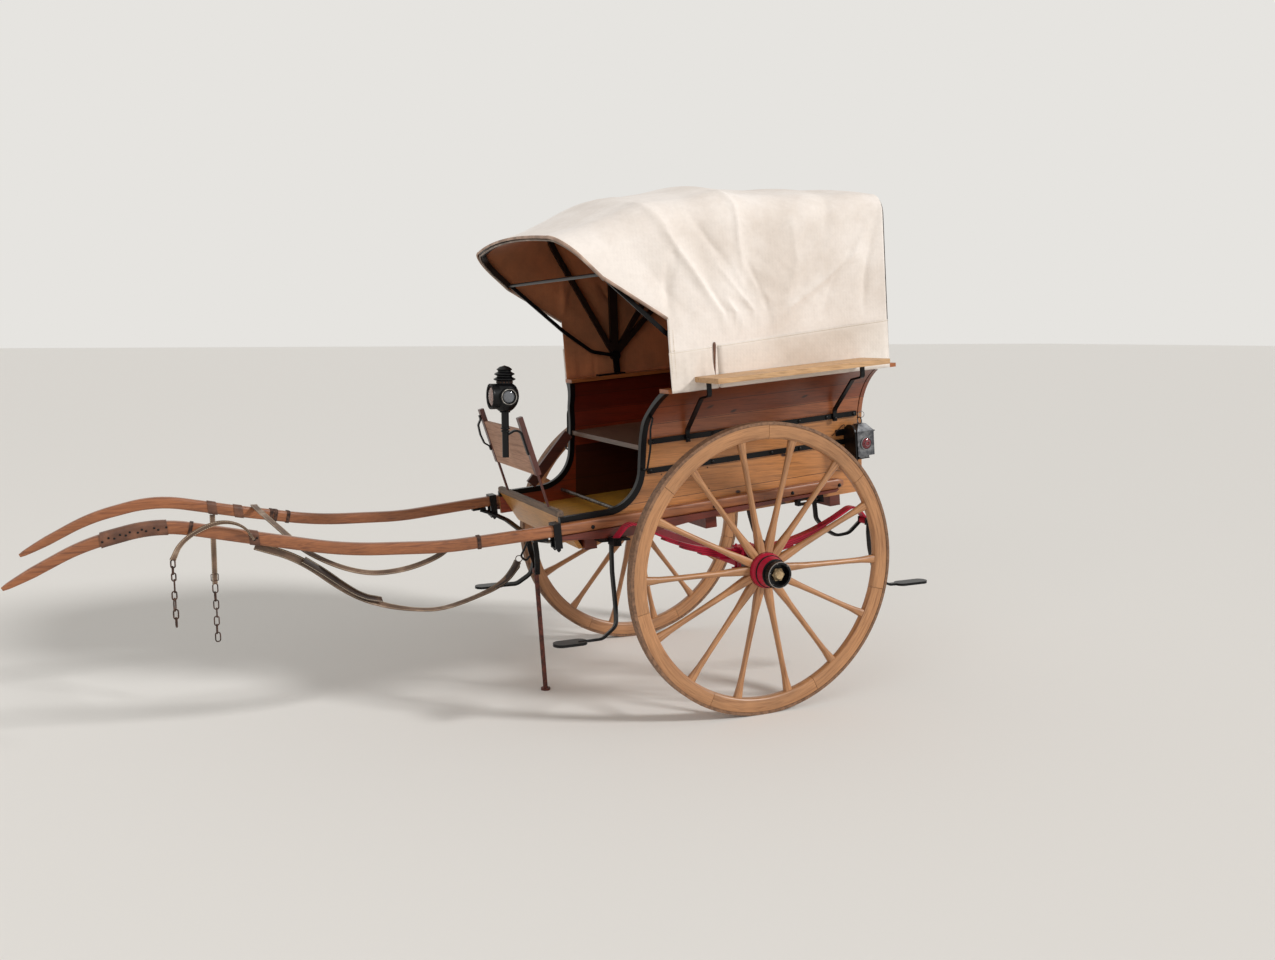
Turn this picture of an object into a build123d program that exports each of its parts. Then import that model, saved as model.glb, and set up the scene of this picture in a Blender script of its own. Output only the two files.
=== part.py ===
from build123d import *
from math import asin, atan2, cos, degrees, radians, sin, sqrt
import os

# Hooded two-wheeled horse cart, parked on its wheels and a front prop.
# Millimetres, +X forward, +Y to the cart's left, +Z up.
# Body sizes are taken level, x forward of the axle and z above its centre,
# and the whole body is then tipped nose-down about the axle.

os.makedirs("parts", exist_ok=True)

# Driving dimensions
nose_down = 5.0
seat_gap = 0.3

# Wheels
wheel_diameter = 1300.0
wheel_face = 125.0
tyre_width = 46.0
tyre_thickness = 13.0
felloe_depth = 62.0
felloe_width = 42.0
spoke_count = 14
spoke_root = 36.0
spoke_tip = 27.0
spoke_thickness = 26.0
dish = 10.0
hub_radius = 76.0
hub_room = 62.0
hub_length = 230.0
nose_radius = 57.0
journal_radius = 22.0
journal_clearance = 0.5
recess_radius = 46.0
recess_depth = 30.0
nut_height = 16.0
axle_bar = 46.0
collar_length = 20.0
collar_radius = 46.0

# Tub
side_outer = 440.0
board = 20.0
floor_top = 235.0
floor_thickness = 22.0
tub_front = 830.0
tub_rear = -690.0
rear_rake = 30.0
toe_side_height = 322.0
strap_low_z = 465.0
strap_high_z = 592.0
rail_z = 806.0
flare_z = 570.0
flare_out = 142.1
rail_thickness = 18.0
rail_width = 56.0
rail_front = 372.0
rail_rear = -815.0
sweep_radius = 175.0
seat_front = 420.0
seat_depth = 390.0
seat_top = 577.0
seat_space = 60.0
band_width = 26.0
band_proud = 3.5
strap_height = 24.0
strap_proud = 11.0
handle_stand = 62.0
handle_radius = 4.5
handle_top = 704.0
handle_foot = 474.0

# Front end of the tub
board_foot_x = 748.0
board_foot_z = 168.0
moulding = 26.0
footrest_x = 500.0
footrest_z = 284.0

# Mudguard boards on cranked stays
wing_gap = 52.0
wing_width = 206.0
wing_front = 240.0
wing_rear = -612.0
wing_z = 845.0
wing_thickness = 22.0
stay_x = (206.0, -570.0)
stay_bar = 20.0
stay_thickness = 9.0
crank_reach = 58.0

# Shafts and underframe
shaft_z = 275.0
shaft_height = 50.0
shaft_width = 44.0
shaft_rear = -590.0
clamp_x = 862.0
cross_bar_x = (700.0, 110.0, -560.0)
cross_bar_width = 56.0
cross_bar_height = 50.0

# Springs
spring_offset = 100.0
spring_width = 45.0
leaf = 9.0
leaf_half = (500.0, 410.0, 320.0, 230.0, 140.0)
spring_rise = 128.0
eye_x = 640.0
eye_z = 160.0
eye_radius = 15.0
pin_radius = 8.0
hanger_z = 150.4
running_gap = 1.0
cheek = 8.0

# Drop tailgate, hinged along the back of the floor
gate_thickness = 20.0
gate_gap = 6.0
gate_drop = 6.0
gate_iron_y = 260.0
gate_iron_width = 30.0
gate_iron_length = 330.0
gate_iron = 5.0
knuckle_radius = 11.0
gate_pin_radius = 5.0
rear_rib = 30.0

# Tail lantern, outboard of the left side
lantern_front = -632.0
lantern_length = 92.0
lantern_offset = 17.0
lantern_width = 88.0
lantern_z = 400.0
lantern_height = 112.0
lantern_roof = 32.0
lantern_eaves = 4.0
bullseye_radius = 26.0

# Hood
canvas_overhang = 44.0
canvas = 4.0
hem_z = 812.0
hood_rear = -765.0
hood_front = 346.0
elbow_z = 1120.0
hood_stations = ((hood_rear, 1655.0), (0.0, 1704.0), (hood_front, 1676.0))
hood_corner = 150.0
crown_rise = 62.0
rim_rise = 34.0
rim_x = 620.0
rim_z = 1307.0
rim_pitch = 46.0
rim_height = 284.0
bow_depth = 22.0
hoop_depth = 18.0
curtain_lift = 14.0
iron_thickness = 10.0
pivot_x = 70.0
pivot_z = 920.0
# Each bow's lean from upright and its width
bow_angles = ((-3.0, 44.0), (27.0, 26.0), (-36.0, 26.0), (-47.0, 26.0))

# Dash and lamps
dash_y = 290.0
dash_lean = 13.0
dash_foot_x = 832.0
dash_rod = 150.0
dash_height = 415.0
dash_board = 205.0
lamp_x = 975.0
lamp_y = 300.0
lamp_z = 850.0
lamp_radius = 60.0
dash_stick = 22.0
dash_stick_width = 32.0
lamp_arm = 9.0
spare_arm = 7.0

# Prop, in the parked frame and measured from the axle line
prop_x = 812.0
prop_pivot_z = -72.0
prop_foot_x = 772.0
prop_bar = 11.0
prop_eye = 16.0
prop_pin = 7.0
prop_half = 11.0
yoke_x = 836.0
yoke_z = 92.0
fork_y = 52.0

# Harness straps and chains left on the shafts
strap_width = 30.0
strap_leather = 4.0
sleeve = 3.0
link_wire = 5.0

wheel_radius = wheel_diameter / 2
flare_radius = (flare_out ** 2 + (rail_z - flare_z) ** 2) / (2 * flare_out)
rail_outer = side_outer + flare_out
shaft_y = side_outer + shaft_width / 2
spring_y = side_outer + spring_offset
hub_inner_y = spring_y + hub_room
hub_nose_y = hub_inner_y + hub_length
wheel_outer_y = hub_inner_y + wheel_face
axle_half = hub_inner_y - collar_length
rib_foot = tub_rear + 3
wing_inner = rail_outer + wing_gap
wing_outer = wing_inner + wing_width
crank_y = wing_inner + crank_reach
lantern_y = side_outer + lantern_offset
canvas_y = rail_outer + canvas_overhang
lamp_parked_x = lamp_x * cos(radians(nose_down)) + lamp_z * sin(radians(nose_down))
lamp_parked_z = lamp_z * cos(radians(nose_down)) - lamp_x * sin(radians(nose_down))
side_inner = side_outer - board
floor_bottom = floor_top - floor_thickness
wheel_mid = wheel_outer_y - tyre_width / 2
felloe_outer_radius = wheel_radius - tyre_thickness
felloe_inner_radius = felloe_outer_radius - felloe_depth
sill_top = shaft_z - shaft_height / 2

pieces = {}
BASE = (Align.CENTER, Align.CENTER, Align.MIN)


def keep(name, shape, level=True):
    """Add a piece; level pieces are tipped with the body."""
    if level:
        shape = Rot(0, nose_down, 0) * shape
    pieces[name] = shape


def both(shape):
    """A left piece and its mirror image."""
    return shape, mirror(shape, about=Plane.XZ)


def keep_pair(name, shape, level=True):
    """One node for each side."""
    left, right = both(shape)
    keep(name + "_left", left, level)
    keep(name + "_right", right, level)


def keep_two(name, shape, level=True):
    """Both sides in one node."""
    left, right = both(shape)
    keep(name, Compound([*left.solids(), *right.solids()]), level)


def side_plate(points, y0, y1):
    """A plate with an outline in x and z, from y0 to y1."""
    face = make_face(Polyline(*points, close=True))
    return Pos(0, y1, 0) * extrude(Plane.XZ * face, amount=y1 - y0)


def block(x0, x1, y0, y1, z0, z1):
    """A box between two corners."""
    centre = Pos((x0 + x1) / 2, (y0 + y1) / 2, (z0 + z1) / 2)
    return centre * Box(abs(x1 - x0), abs(y1 - y0), abs(z1 - z0))


def bar(points, radii, section, across=(0, 1, 0)):
    """A section swept along straight runs with rounded corners."""
    if len(points) == 2:
        path = Line(*points)
    else:
        path = FilletPolyline(*points, radius=radii)
    start = Plane(origin=path @ 0, x_dir=across, z_dir=path % 0)
    return sweep(start * section, path=path)


def rod(start, end, radius):
    """A round rod between two points."""
    run = Vector(end) - Vector(start)
    return Plane(origin=start, z_dir=run) * Cylinder(radius, run.length, align=BASE)


# Wheels: tyre, felloes, spokes and hub, with the axle line along Y
def ring(outer, inner, width, y):
    tube = Circle(outer) - Circle(inner)
    return Pos(0, y + width / 2, 0) * extrude(Plane.XZ * tube, amount=width)


def hub():
    profile = (
        (nose_radius, hub_nose_y),
        (nose_radius, hub_nose_y - 42),
        (nose_radius + 4, hub_nose_y - 44),
        (hub_radius - 6, wheel_outer_y + 24),
        (hub_radius - 4, wheel_outer_y + 12),
        (hub_radius + 2, wheel_outer_y + 2),
        (hub_radius + 2, wheel_mid - 34),
        (hub_radius - 8, wheel_mid - 42),
        (nose_radius + 6, hub_inner_y + 22),
        (nose_radius + 4, hub_inner_y),
    )
    bore = journal_radius + journal_clearance
    bottom = hub_nose_y - recess_depth
    section = Polyline((bore, hub_inner_y), *[(r, y) for r, y in reversed(profile)],
                       (recess_radius, hub_nose_y), (recess_radius, bottom), (bore, bottom),
                       close=True)
    return revolve(make_face(section), axis=Axis.Y)


def spoke(angle):
    """One tapering spoke, standing up from the hub to the felloe."""
    root = hub_radius - 8
    tip = felloe_inner_radius + 14
    low = Plane(origin=(0, wheel_mid - dish, root), x_dir=(1, 0, 0), z_dir=(0, 0, 1))
    high = Plane(origin=(0, wheel_mid, tip), x_dir=(1, 0, 0), z_dir=(0, 0, 1))
    stick = loft([low * Rectangle(spoke_root, spoke_thickness + 6),
                  high * Rectangle(spoke_tip, spoke_thickness)])
    return Rot(0, angle, 0) * stick


def wheel():
    tyre = ring(wheel_radius, felloe_outer_radius, tyre_width, wheel_mid)
    rim = ring(felloe_outer_radius, felloe_inner_radius, felloe_width, wheel_mid)
    nave = hub()
    step = 360 / spoke_count
    spokes = [spoke(step * (i + 0.5)) for i in range(spoke_count)]
    for stick in spokes:
        rim -= stick
        nave -= stick
    face = Pos(0, hub_nose_y - recess_depth, 0) * Rot(-90, 0, 0)
    nut = face * extrude(RegularPolygon(30, 6), nut_height)
    cap = face * Pos(0, 0, nut_height) * Cone(26, 17, 13, align=BASE)
    keep_pair("tyre", tyre, level=False)
    keep_pair("felloes", rim, level=False)
    keep_pair("spokes", Compound(spokes), level=False)
    keep_pair("hub", nave, level=False)
    keep_pair("hub_cap", nut + cap, level=False)


def axle():
    half = axle_bar / 2
    beam = block(-half, half, -axle_half, axle_half, -half, half)
    collar_end = hub_inner_y - 3
    arm = Pos(0, axle_half, 0) * Rot(-90, 0, 0) * Cylinder(
        journal_radius, hub_nose_y - recess_depth - 6 - axle_half, align=BASE)
    collar = Pos(0, axle_half, 0) * Rot(-90, 0, 0) * Cylinder(
        collar_radius, collar_end - axle_half, align=BASE)
    left, right = both(arm + collar)
    keep("axle", beam + left + right, level=False)


# Tub
def side_curve(depth, low):
    """The side's profile in y and z, depth inboard of its outer face: upright, then flared."""
    radius = flare_radius + depth
    sweep_angle = asin((rail_z - flare_z) / radius)
    points = []
    for share in (0, 0.5, 1):
        a = sweep_angle * share
        points.append((side_outer + flare_radius - radius * cos(a), flare_z + radius * sin(a)))
    return [Line((side_outer - depth, low), points[0]), ThreePointArc(*points)]


def side_layer(outer, inner, low=floor_bottom):
    """The side's cross-section between two depths, run along the tub."""
    first = side_curve(outer, low)
    last = side_curve(inner, low)
    edges = [*first, Line(first[1] @ 1, last[1] @ 1), *last, Line(last[0] @ 0, first[0] @ 0)]
    length = tub_front - rail_rear + 40
    return Pos(rail_rear - 20, 0, 0) * extrude(Plane.YZ * make_face(edges), amount=length)


def sweep_line(inset):
    """The side's S-shaped front edge, moved back and down by inset."""
    low = toe_side_height - inset
    return FilletPolyline(
        (tub_front, low), (462 - inset * 0.85, low), (414 - inset, 690),
        (rail_front - 10 - inset, rail_z + 6 - inset * 0.1),
        radius=(sweep_radius + inset, 150 + inset))


def side_outline(inset):
    edge = sweep_line(inset)
    end = edge @ 1
    start = edge @ 0
    rest = Polyline((end.X, end.Y), (tub_rear - rear_rake, end.Y), (tub_rear, floor_bottom),
                    (start.X, floor_bottom), (start.X, start.Y))
    return make_face([*edge.edges(), *rest.edges()])


def xz_run(face, half=700):
    """An x-z outline run across the cart's left side."""
    return Pos(0, half, 0) * extrude(Plane.XZ * face, amount=half - 300)


def sides():
    """Panels, the black band round their front edge and a rib at their back edge."""
    outline = xz_run(side_outline(band_width))
    keep_pair("side_panel", side_layer(0, board) & outline)
    ribbon = xz_run(side_outline(0.0)) - outline
    above = block(-900, tub_front, 300, 700, floor_top + 40, rail_z)
    keep_two("side_bands", side_layer(-band_proud, board + band_proud) & ribbon & above)
    top_x = rib_foot - rear_rake
    strip = Polyline((rib_foot, floor_bottom), (rib_foot + rear_rib, floor_bottom),
                     (top_x + rear_rib, rail_z - 2), (top_x, rail_z - 2), close=True)
    keep_two("rear_ribs", side_layer(board, board + rear_rib) & xz_run(make_face(strip)))


def floor():
    """Floor, sloping front board with its cap, footrest bar and the seat boards."""
    slope = (tub_front - board_foot_x) / (toe_side_height - board_foot_z)
    top_x = board_foot_x + (floor_top - board_foot_z) * slope - board
    low_x = board_foot_x + (floor_bottom - board_foot_z) * slope - board
    points = ((tub_rear + 2, floor_bottom), (low_x, floor_bottom), (top_x, floor_top),
              (tub_rear + 2, floor_top))
    notch = block(tub_rear, rib_foot + rear_rib + seat_gap, side_inner - rear_rib - seat_gap,
                  side_inner + 1, floor_bottom - 1, floor_top + 1)
    left, right = both(notch)
    keep("floor", side_plate(points, -side_inner, side_inner) - left - right)
    half = side_inner - band_proud - seat_gap
    face = ((board_foot_x, board_foot_z), (tub_front, toe_side_height),
            (tub_front - board, toe_side_height), (board_foot_x - board, board_foot_z))
    keep("front_board", side_plate(face, -half, half))
    cap = block(tub_front - board - 6, tub_front + 4, -side_inner, side_inner,
                toe_side_height, toe_side_height + moulding)
    keep("front_moulding", fillet(cap.edges().filter_by(Axis.Y).group_by(Axis.Z)[-1], 10))
    rail = rod((footrest_x, -side_inner, footrest_z), (footrest_x, side_inner, footrest_z), 9)
    keep("footrest_bar", rail)
    low = seat_top - floor_thickness
    keep("seat", block(seat_front - seat_depth, seat_front, -half, half, low, seat_top))
    rear = seat_front - seat_depth - seat_space
    keep("rear_seat", block(rear - seat_depth, rear, -side_inner, side_inner, low, seat_top))


def side_straps():
    """Half-round iron straps along both sides, and a grab handle by each front edge."""
    layer = side_layer(-strap_proud, 0)
    runs = []
    for z, x0 in ((strap_low_z, 408.0), (strap_high_z, 392.0)):
        strip = layer & block(tub_rear - 8, x0, side_outer - 1, rail_outer,
                              z - strap_height / 2, z + strap_height / 2)
        runs += [*both(strip)]
    keep("side_straps", Compound(runs))
    y = side_outer + handle_stand
    face = side_outer + flare_radius - sqrt(flare_radius ** 2 - (handle_top - flare_z) ** 2)
    route = ((388, face - 8, handle_top), (388, y, handle_top - 2), (404, y, handle_top - 49),
             (411, y, handle_top - 134), (432, y - 4, handle_foot + 8), (430, side_outer - 4, handle_foot))
    grip = bar(route, (12, 60, 200, 12), Circle(handle_radius), across=(1, 0, 0))
    keep_two("grab_handles", grip - side_layer(-band_proud - seat_gap, board))


def rails():
    """Top rails, and the mudguard boards on their cranked stays."""
    y1 = rail_outer + 30
    cap = block(rail_rear, rail_front - 14, y1 - rail_width - 30, y1, rail_z,
                rail_z + rail_thickness)
    keep_two("top_rails", cap)
    wing = block(wing_rear, wing_front, wing_inner, wing_outer, wing_z, wing_z + wing_thickness)
    keep_two("wing_boards", wing)
    stays = []
    flat = Rectangle(stay_bar, stay_thickness)
    strap_radius = flare_radius - strap_proud
    strap_rise = strap_high_z + strap_height / 2 - flare_z
    strap_face = side_outer + flare_radius - sqrt(strap_radius ** 2 - strap_rise ** 2)
    y = strap_face + seat_gap + stay_thickness / 2
    for x in stay_x:
        path = ((x, y, strap_high_z - 22), (x, y, strap_high_z + 30),
                (x, rail_outer + 34, rail_z - 34), (x, crank_y, rail_z - 20), (x, crank_y, wing_z))
        stays += [*both(bar(path, (40, 16, 14), flat, across=(1, 0, 0)))]
    keep("wing_stays", Compound(stays))


# Tailgate: a board shaped to the flared sides that closes behind their back edges
def tail():
    lean = degrees(atan2(rear_rake, rail_z - floor_bottom))
    hinge_x = tub_rear - gate_gap - gate_thickness / 2
    hinge_z = floor_bottom + 6
    place = Pos(hinge_x, 0, hinge_z) * Rot(0, -lean, 0)
    low = hinge_z + knuckle_radius + 6
    wall = side_curve(0.0, low)
    top = rail_z - gate_drop
    left = [mirror(edge, about=Plane.YZ) for edge in wall]
    edges = [*wall, Line(wall[1] @ 1, left[1] @ 1), *left, Line(left[0] @ 0, wall[0] @ 0)]
    plate = extrude(Plane.YZ * make_face(edges), amount=gate_thickness / 2, both=True)
    plate = Pos(0, 0, -hinge_z) * plate
    plate &= block(-50, 50, -700, 700, 0, top - hinge_z)
    keep("tailgate", place * plate)
    back = -gate_thickness / 2
    irons = []
    leaves = []
    for y in (-gate_iron_y, gate_iron_y):
        y0, y1 = y - gate_iron_width / 2, y + gate_iron_width / 2
        leaf_iron = block(back - gate_iron, back, y0, y1, -6, gate_iron_length)
        eye = rod((0, y0, 0), (0, y1, 0), knuckle_radius)
        web = block(back - gate_iron, 0, y0, y1, -knuckle_radius, -knuckle_radius + 5)
        bore = rod((0, y0 - 1, 0), (0, y1 + 1, 0), gate_pin_radius + 0.3)
        irons.append(place * (leaf_iron + eye + web - bore))
        fixed = rod((hinge_x, y0 - 18, hinge_z), (hinge_x, y1 + 18, hinge_z), gate_pin_radius)
        for side_y in (y0 - 18, y1 + running_gap):
            fixed += rod((hinge_x, side_y, hinge_z), (hinge_x, side_y + 17, hinge_z), knuckle_radius)
            fixed += block(hinge_x, tub_rear + 60, side_y, side_y + 17, floor_bottom - 5, floor_bottom)
        leaves.append(fixed)
    keep("gate_irons", Compound(irons))
    keep("gate_hinges", Compound(leaves))


def lantern():
    """Square tail lantern with a hipped roof, on a round-topped back plate."""
    x1 = lantern_front
    x0 = x1 - lantern_length
    y1 = lantern_y + lantern_width
    top = lantern_z + lantern_height
    box = block(x0, x1, lantern_y, y1, lantern_z, top)
    middle = Pos((x0 + x1) / 2, (lantern_y + y1) / 2, top)
    eaves = middle * extrude(Rectangle(lantern_length + 2 * lantern_eaves,
                                       lantern_width + 2 * lantern_eaves), 5)
    roof = middle * Pos(0, 0, 5) * extrude(Rectangle(lantern_length, lantern_width), lantern_roof,
                                           taper=38)
    foot = middle * Pos(0, 0, -lantern_height - 12) * extrude(Rectangle(54, 54), 12)
    ring_z = 5 + lantern_roof + 14
    ring_part = middle * Pos(0, 0, ring_z) * Rot(0, 90, 0) * Torus(16, 2.5)
    bezel = rod((middle.position.X, y1 - 2, lantern_z + 58), (middle.position.X, y1 + 5, lantern_z + 58),
                bullseye_radius + 5)
    seat = rod((middle.position.X, y1 - 1, lantern_z + 58), (middle.position.X, y1 + 6, lantern_z + 58),
               bullseye_radius + seat_gap)
    keep("tail_lantern", box + eaves + roof + foot + ring_part + bezel - seat)
    glass = Pos(middle.position.X, y1 - 1, lantern_z + 58) * Rot(-90, 0, 0) * Cylinder(
        bullseye_radius, 6, align=BASE)
    keep("tail_glass", fillet(glass.edges().group_by(Axis.Y)[-1], 4))
    plate_mid = lantern_y + lantern_width / 2 - 4
    half = plate_mid - side_outer - strap_proud - seat_gap
    x1 += lantern_eaves + seat_gap
    x2 = x1 + 7
    plate = block(x1, x2, plate_mid - half, plate_mid + half, lantern_z - 16, top - 8)
    plate += rod((x1, plate_mid, top - 8), (x2, plate_mid, top - 8), half)
    arm = block(x1, x2, side_outer, plate_mid, strap_low_z + 30, strap_low_z + 60)
    flange = block(x1, x1 + 46, side_outer, side_outer + 5, strap_low_z + 30, strap_low_z + 60)
    shelf = block(x0 + 18, x2, lantern_y + 16, y1 - 16, lantern_z - 16, lantern_z - 12 - seat_gap)
    keep("lantern_bracket", plate + arm + flange + shelf)


def underframe():
    y0 = side_outer
    y1 = shaft_y + shaft_width / 2
    beam = side_plate(((clamp_x, sill_top), (clamp_x, 234), (600, 204), (420, 200), (200, 220),
                       (-130, 233), (-540, 238), (-560, sill_top)), y0, y1)
    keep_two("sills", beam)
    bars = []
    for x in cross_bar_x:
        bars.append(block(x - cross_bar_width / 2, x + cross_bar_width / 2, -side_outer, side_outer,
                          floor_bottom - cross_bar_height, floor_bottom))
    keep("cross_bars", Compound(bars))


# Shafts: one long bent pole each side, straight beside the tub
shaft_route = ((925.0, shaft_y, 275.0), (1330.0, 424.0, 277.0), (1720.0, 392.0, 325.0),
               (2060.0, 352.0, 425.0), (2380.0, 334.0, 525.0), (2640.0, 334.0, 488.0),
               (2918.0, 330.0, 372.0))
shaft_bends = (900, 1400, 1600, 1200, 500, 700)
# Leather sleeves: from x, to x, side
sleeve_runs = ((2034, 2070, 1), (2350, 2580, 1), (2034, 2070, -1), (2140, 2176, -1))


def pole(grow):
    """The shaft's pole, thicker by grow all round."""
    route = ((shaft_rear, shaft_y, shaft_z), *shaft_route)
    face = RectangleRounded(shaft_width + 2 * grow, shaft_height + 2 * grow, 14 + grow)
    return bar(route, shaft_bends, face)


def shafts():
    """The poles, their clamps, and the leather sleeves bound round them."""
    stick = pole(0)
    keep_pair("shaft", stick)
    y1 = shaft_y + shaft_width / 2
    clip = block(clamp_x - 16, clamp_x + 16, side_outer - 12, y1 + 8, 200, shaft_z + 33)
    hole = block(clamp_x - 20, clamp_x + 20, side_outer - 0.3, y1 + 0.3, 206, shaft_z + 25.3)
    keep_two("shaft_clamps", clip - hole)
    thick = pole(sleeve)
    bound = []
    for x0, x1, side in sleeve_runs:
        tube = (thick & block(x0, x1, 200, 500, 300, 700)) - stick
        if side < 0:
            tube = mirror(tube, about=Plane.XZ)
        bound += tube.solids()
    keep("shaft_sleeves", Compound(bound))


# Springs, symmetrical about the upright through the axle
def springs():
    seat_z = axle_bar / 2
    top = seat_z + leaf * len(leaf_half)
    radius = (leaf_half[0] ** 2 + spring_rise ** 2) / (2 * spring_rise)
    centre = top + radius
    shape = None
    for i, half in enumerate(leaf_half):
        inner = radius + leaf * i
        outer = inner + leaf
        a = asin(half / radius)
        pts = [(r * sin(k * a), centre - r * cos(k * a)) for r in (inner, outer) for k in (-1, 1)]
        arcs = [ThreePointArc(pts[0], (0, centre - inner), pts[1]), Line(pts[1], pts[3]),
                ThreePointArc(pts[3], (0, centre - outer), pts[2]), Line(pts[2], pts[0])]
        strip = Pos(0, spring_width / 2, 0) * extrude(Plane.XZ * make_face(arcs), spring_width)
        shape = strip if shape is None else shape + strip
    end_a = asin(leaf_half[0] / radius)
    for side in (-1, 1):
        mid = radius + leaf / 2
        x = mid * sin(end_a)
        z = centre - mid * cos(end_a)
        route = ((side * (x - 6 * cos(end_a)), 0, z - 6 * sin(end_a)),
                 (side * (x + 85 * cos(end_a)), 0, z + 85 * sin(end_a)),
                 (side * eye_x, 0, eye_z))
        curl = bar(route, (55,), Rectangle(spring_width, leaf))
        eye = Pos(side * eye_x, spring_width / 2, eye_z - eye_radius + 3) * Rot(90, 0, 0) * Cylinder(
            eye_radius, spring_width, align=BASE)
        shape = shape + curl + eye
    for side in (-1, 1):
        shape -= Pos(side * eye_x, spring_width / 2 + 1, eye_z - eye_radius + 3) * Rot(90, 0, 0) * \
            Cylinder(pin_radius + 0.2, spring_width + 2, align=BASE)
    keep_pair("spring", Pos(0, spring_y, 0) * shape, level=False)


def spring_irons():
    """Front hangers, rear goose-neck irons with shackles, and axle clips."""
    pin_z = eye_z - eye_radius + 3
    half = spring_width / 2
    inner = spring_y - half - running_gap
    outer = spring_y + half + running_gap
    sill_outer = shaft_y + shaft_width / 2
    parts = []
    for x in (-eye_x, eye_x):
        part = rod((x, inner - cheek, pin_z), (x, outer + cheek + 3, pin_z), pin_radius)
        for y in (inner - cheek, outer):
            part += block(x - 14, x + 14, y, y + cheek, pin_z - 16, pin_z + 18)
        parts.append(part)
    front = parts[1] + block(eye_x - 80, eye_x + 60, side_outer + 6, inner, hanger_z - 8, hanger_z)
    web_x = eye_x + eye_radius + running_gap
    front += block(web_x, web_x + 6, inner - cheek, outer + cheek, pin_z - 16, pin_z + 18)
    for y in (inner - cheek, outer):
        front += block(eye_x, web_x + 6, y, y + cheek, pin_z - 16, pin_z + 18)
    keep_two("spring_hanger", front, level=False)
    bracket = block(-470, -330, side_outer + 8, sill_outer - 4, 200, 235.1)
    bracket -= block(-456, -344, side_outer, sill_outer, 208, 227)
    bracket = Rot(0, nose_down, 0) * bracket
    # Each row: x, distance outboard of the tub's side, z
    goose = ((-404, 26, 266), (-416, 30, 164), (-458, 38, 111), (-518, 50, 76), (-582, 60, 86))
    route = [(x, side_outer + y, z) for x, y, z in goose]
    route.append((-eye_x, inner - cheek - 2.5, pin_z - 8))
    neck = bar(route, (40, 50, 60, 60), Rectangle(20, 14))
    keep_two("rear_iron", parts[0] + neck + bracket, level=False)
    seat_z = axle_bar / 2
    top = seat_z + leaf * len(leaf_half)
    legs = [inner - 6.5, outer + 6.5]
    radius = (leaf_half[0] ** 2 + spring_rise ** 2) / (2 * spring_rise)
    saddle = top + radius - sqrt(radius ** 2 - 52 ** 2) + seat_gap
    clip = block(-52, 52, legs[0] - 9, legs[1] + 9, saddle, saddle + 9)
    clip += block(-52, 52, legs[0] - 9, legs[1] + 9, -seat_z - 8, -seat_z)
    for x in (-36, 36):
        for y in legs:
            clip += rod((x, y, -seat_z - 14), (x, y, saddle + 15), 6)
    keep_two("axle_clip", clip, level=False)


# Steps, in the parked frame from the axle line
def steps():
    # Each row: x, distance outboard of the tub's side, z
    drop = ((640, 54, hanger_z - 8), (640, 54, 104), (643, 68, 10), (640, 100, -150),
            (650, 126, -215), (720, 138, -262), (830, 140, -262))
    arm = bar([(x, side_outer + y, z) for x, y, z in drop], (200, 300, 160, 50, 50), Rectangle(24, 12))
    tread = Pos(866, side_outer + 142, -268) * extrude(SlotOverall(150, 74), 12)
    keep_two("front_steps", arm + tread, level=False)
    cheek_y = spring_y + spring_width / 2 + running_gap + cheek / 2
    top_z = eye_z - eye_radius + 3 - 16
    route = ((-645, cheek_y, top_z), (-645, cheek_y, 90), (-654, cheek_y, 20), (-690, spring_y + 22, -100),
             (-770, spring_y + 20, -170), (-850, spring_y + 20, -172))
    arm = bar(route, (200, 200, 100, 60), Rectangle(20, 11))
    tread = Pos(-908, spring_y + 20, -178) * extrude(SlotOverall(180, 66), 12)
    keep_two("rear_steps", arm + tread, level=False)


# Prop: an iron yoke slung between the shafts carries a fork, and the leg folds back from it
def prop():
    foot = Rot(0, nose_down, 0) * block(900, 966, side_outer, side_outer + 34, shaft_z - shaft_height / 2 - 9,
                                        shaft_z - shaft_height / 2 - seat_gap)
    route = [(938, side_outer + 12, 157), (900, side_outer - 32, 146), (850, side_outer - 120, 122),
             (yoke_x, 160, yoke_z + 6), (yoke_x, 0, yoke_z)]
    half = bar(route, (60, 80, 120), Rectangle(26, 9), across=(1, 0, 0))
    cheek_y = prop_half + 7
    fork = bar(((yoke_x, fork_y, yoke_z + 2), (prop_x + 10, fork_y - 8, (yoke_z + prop_pivot_z) / 2),
                (prop_x, cheek_y, prop_pivot_z / 2), (prop_x, cheek_y, prop_pivot_z - 14)),
               (80, 20), Rectangle(8, 24))
    left, right = both(half + foot + fork)
    pin = rod((prop_x, -prop_half - 14, prop_pivot_z), (prop_x, prop_half + 14, prop_pivot_z), prop_pin)
    hook = bar(((yoke_x + 8, 0, yoke_z - 2), (yoke_x + 30, 0, 40), (yoke_x + 50, 0, 4),
                (yoke_x + 26, 0, -22), (yoke_x + 6, 0, 0)), (24, 14, 12), Circle(5))
    keep("prop_bracket", left + right + pin + hook, level=False)
    eye = rod((prop_x, -prop_half, prop_pivot_z), (prop_x, prop_half, prop_pivot_z), prop_eye)
    leg = rod((prop_x, 0, prop_pivot_z), (prop_foot_x, 0, 4 - wheel_radius), prop_bar)
    bore = rod((prop_x, -20, prop_pivot_z), (prop_x, 20, prop_pivot_z), prop_pin + 0.4)
    shoe = Pos(prop_foot_x, 0, -wheel_radius) * Cylinder(22, 10, align=BASE)
    keep("prop_leg", leg + eye + shoe - bore, level=False)


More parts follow.
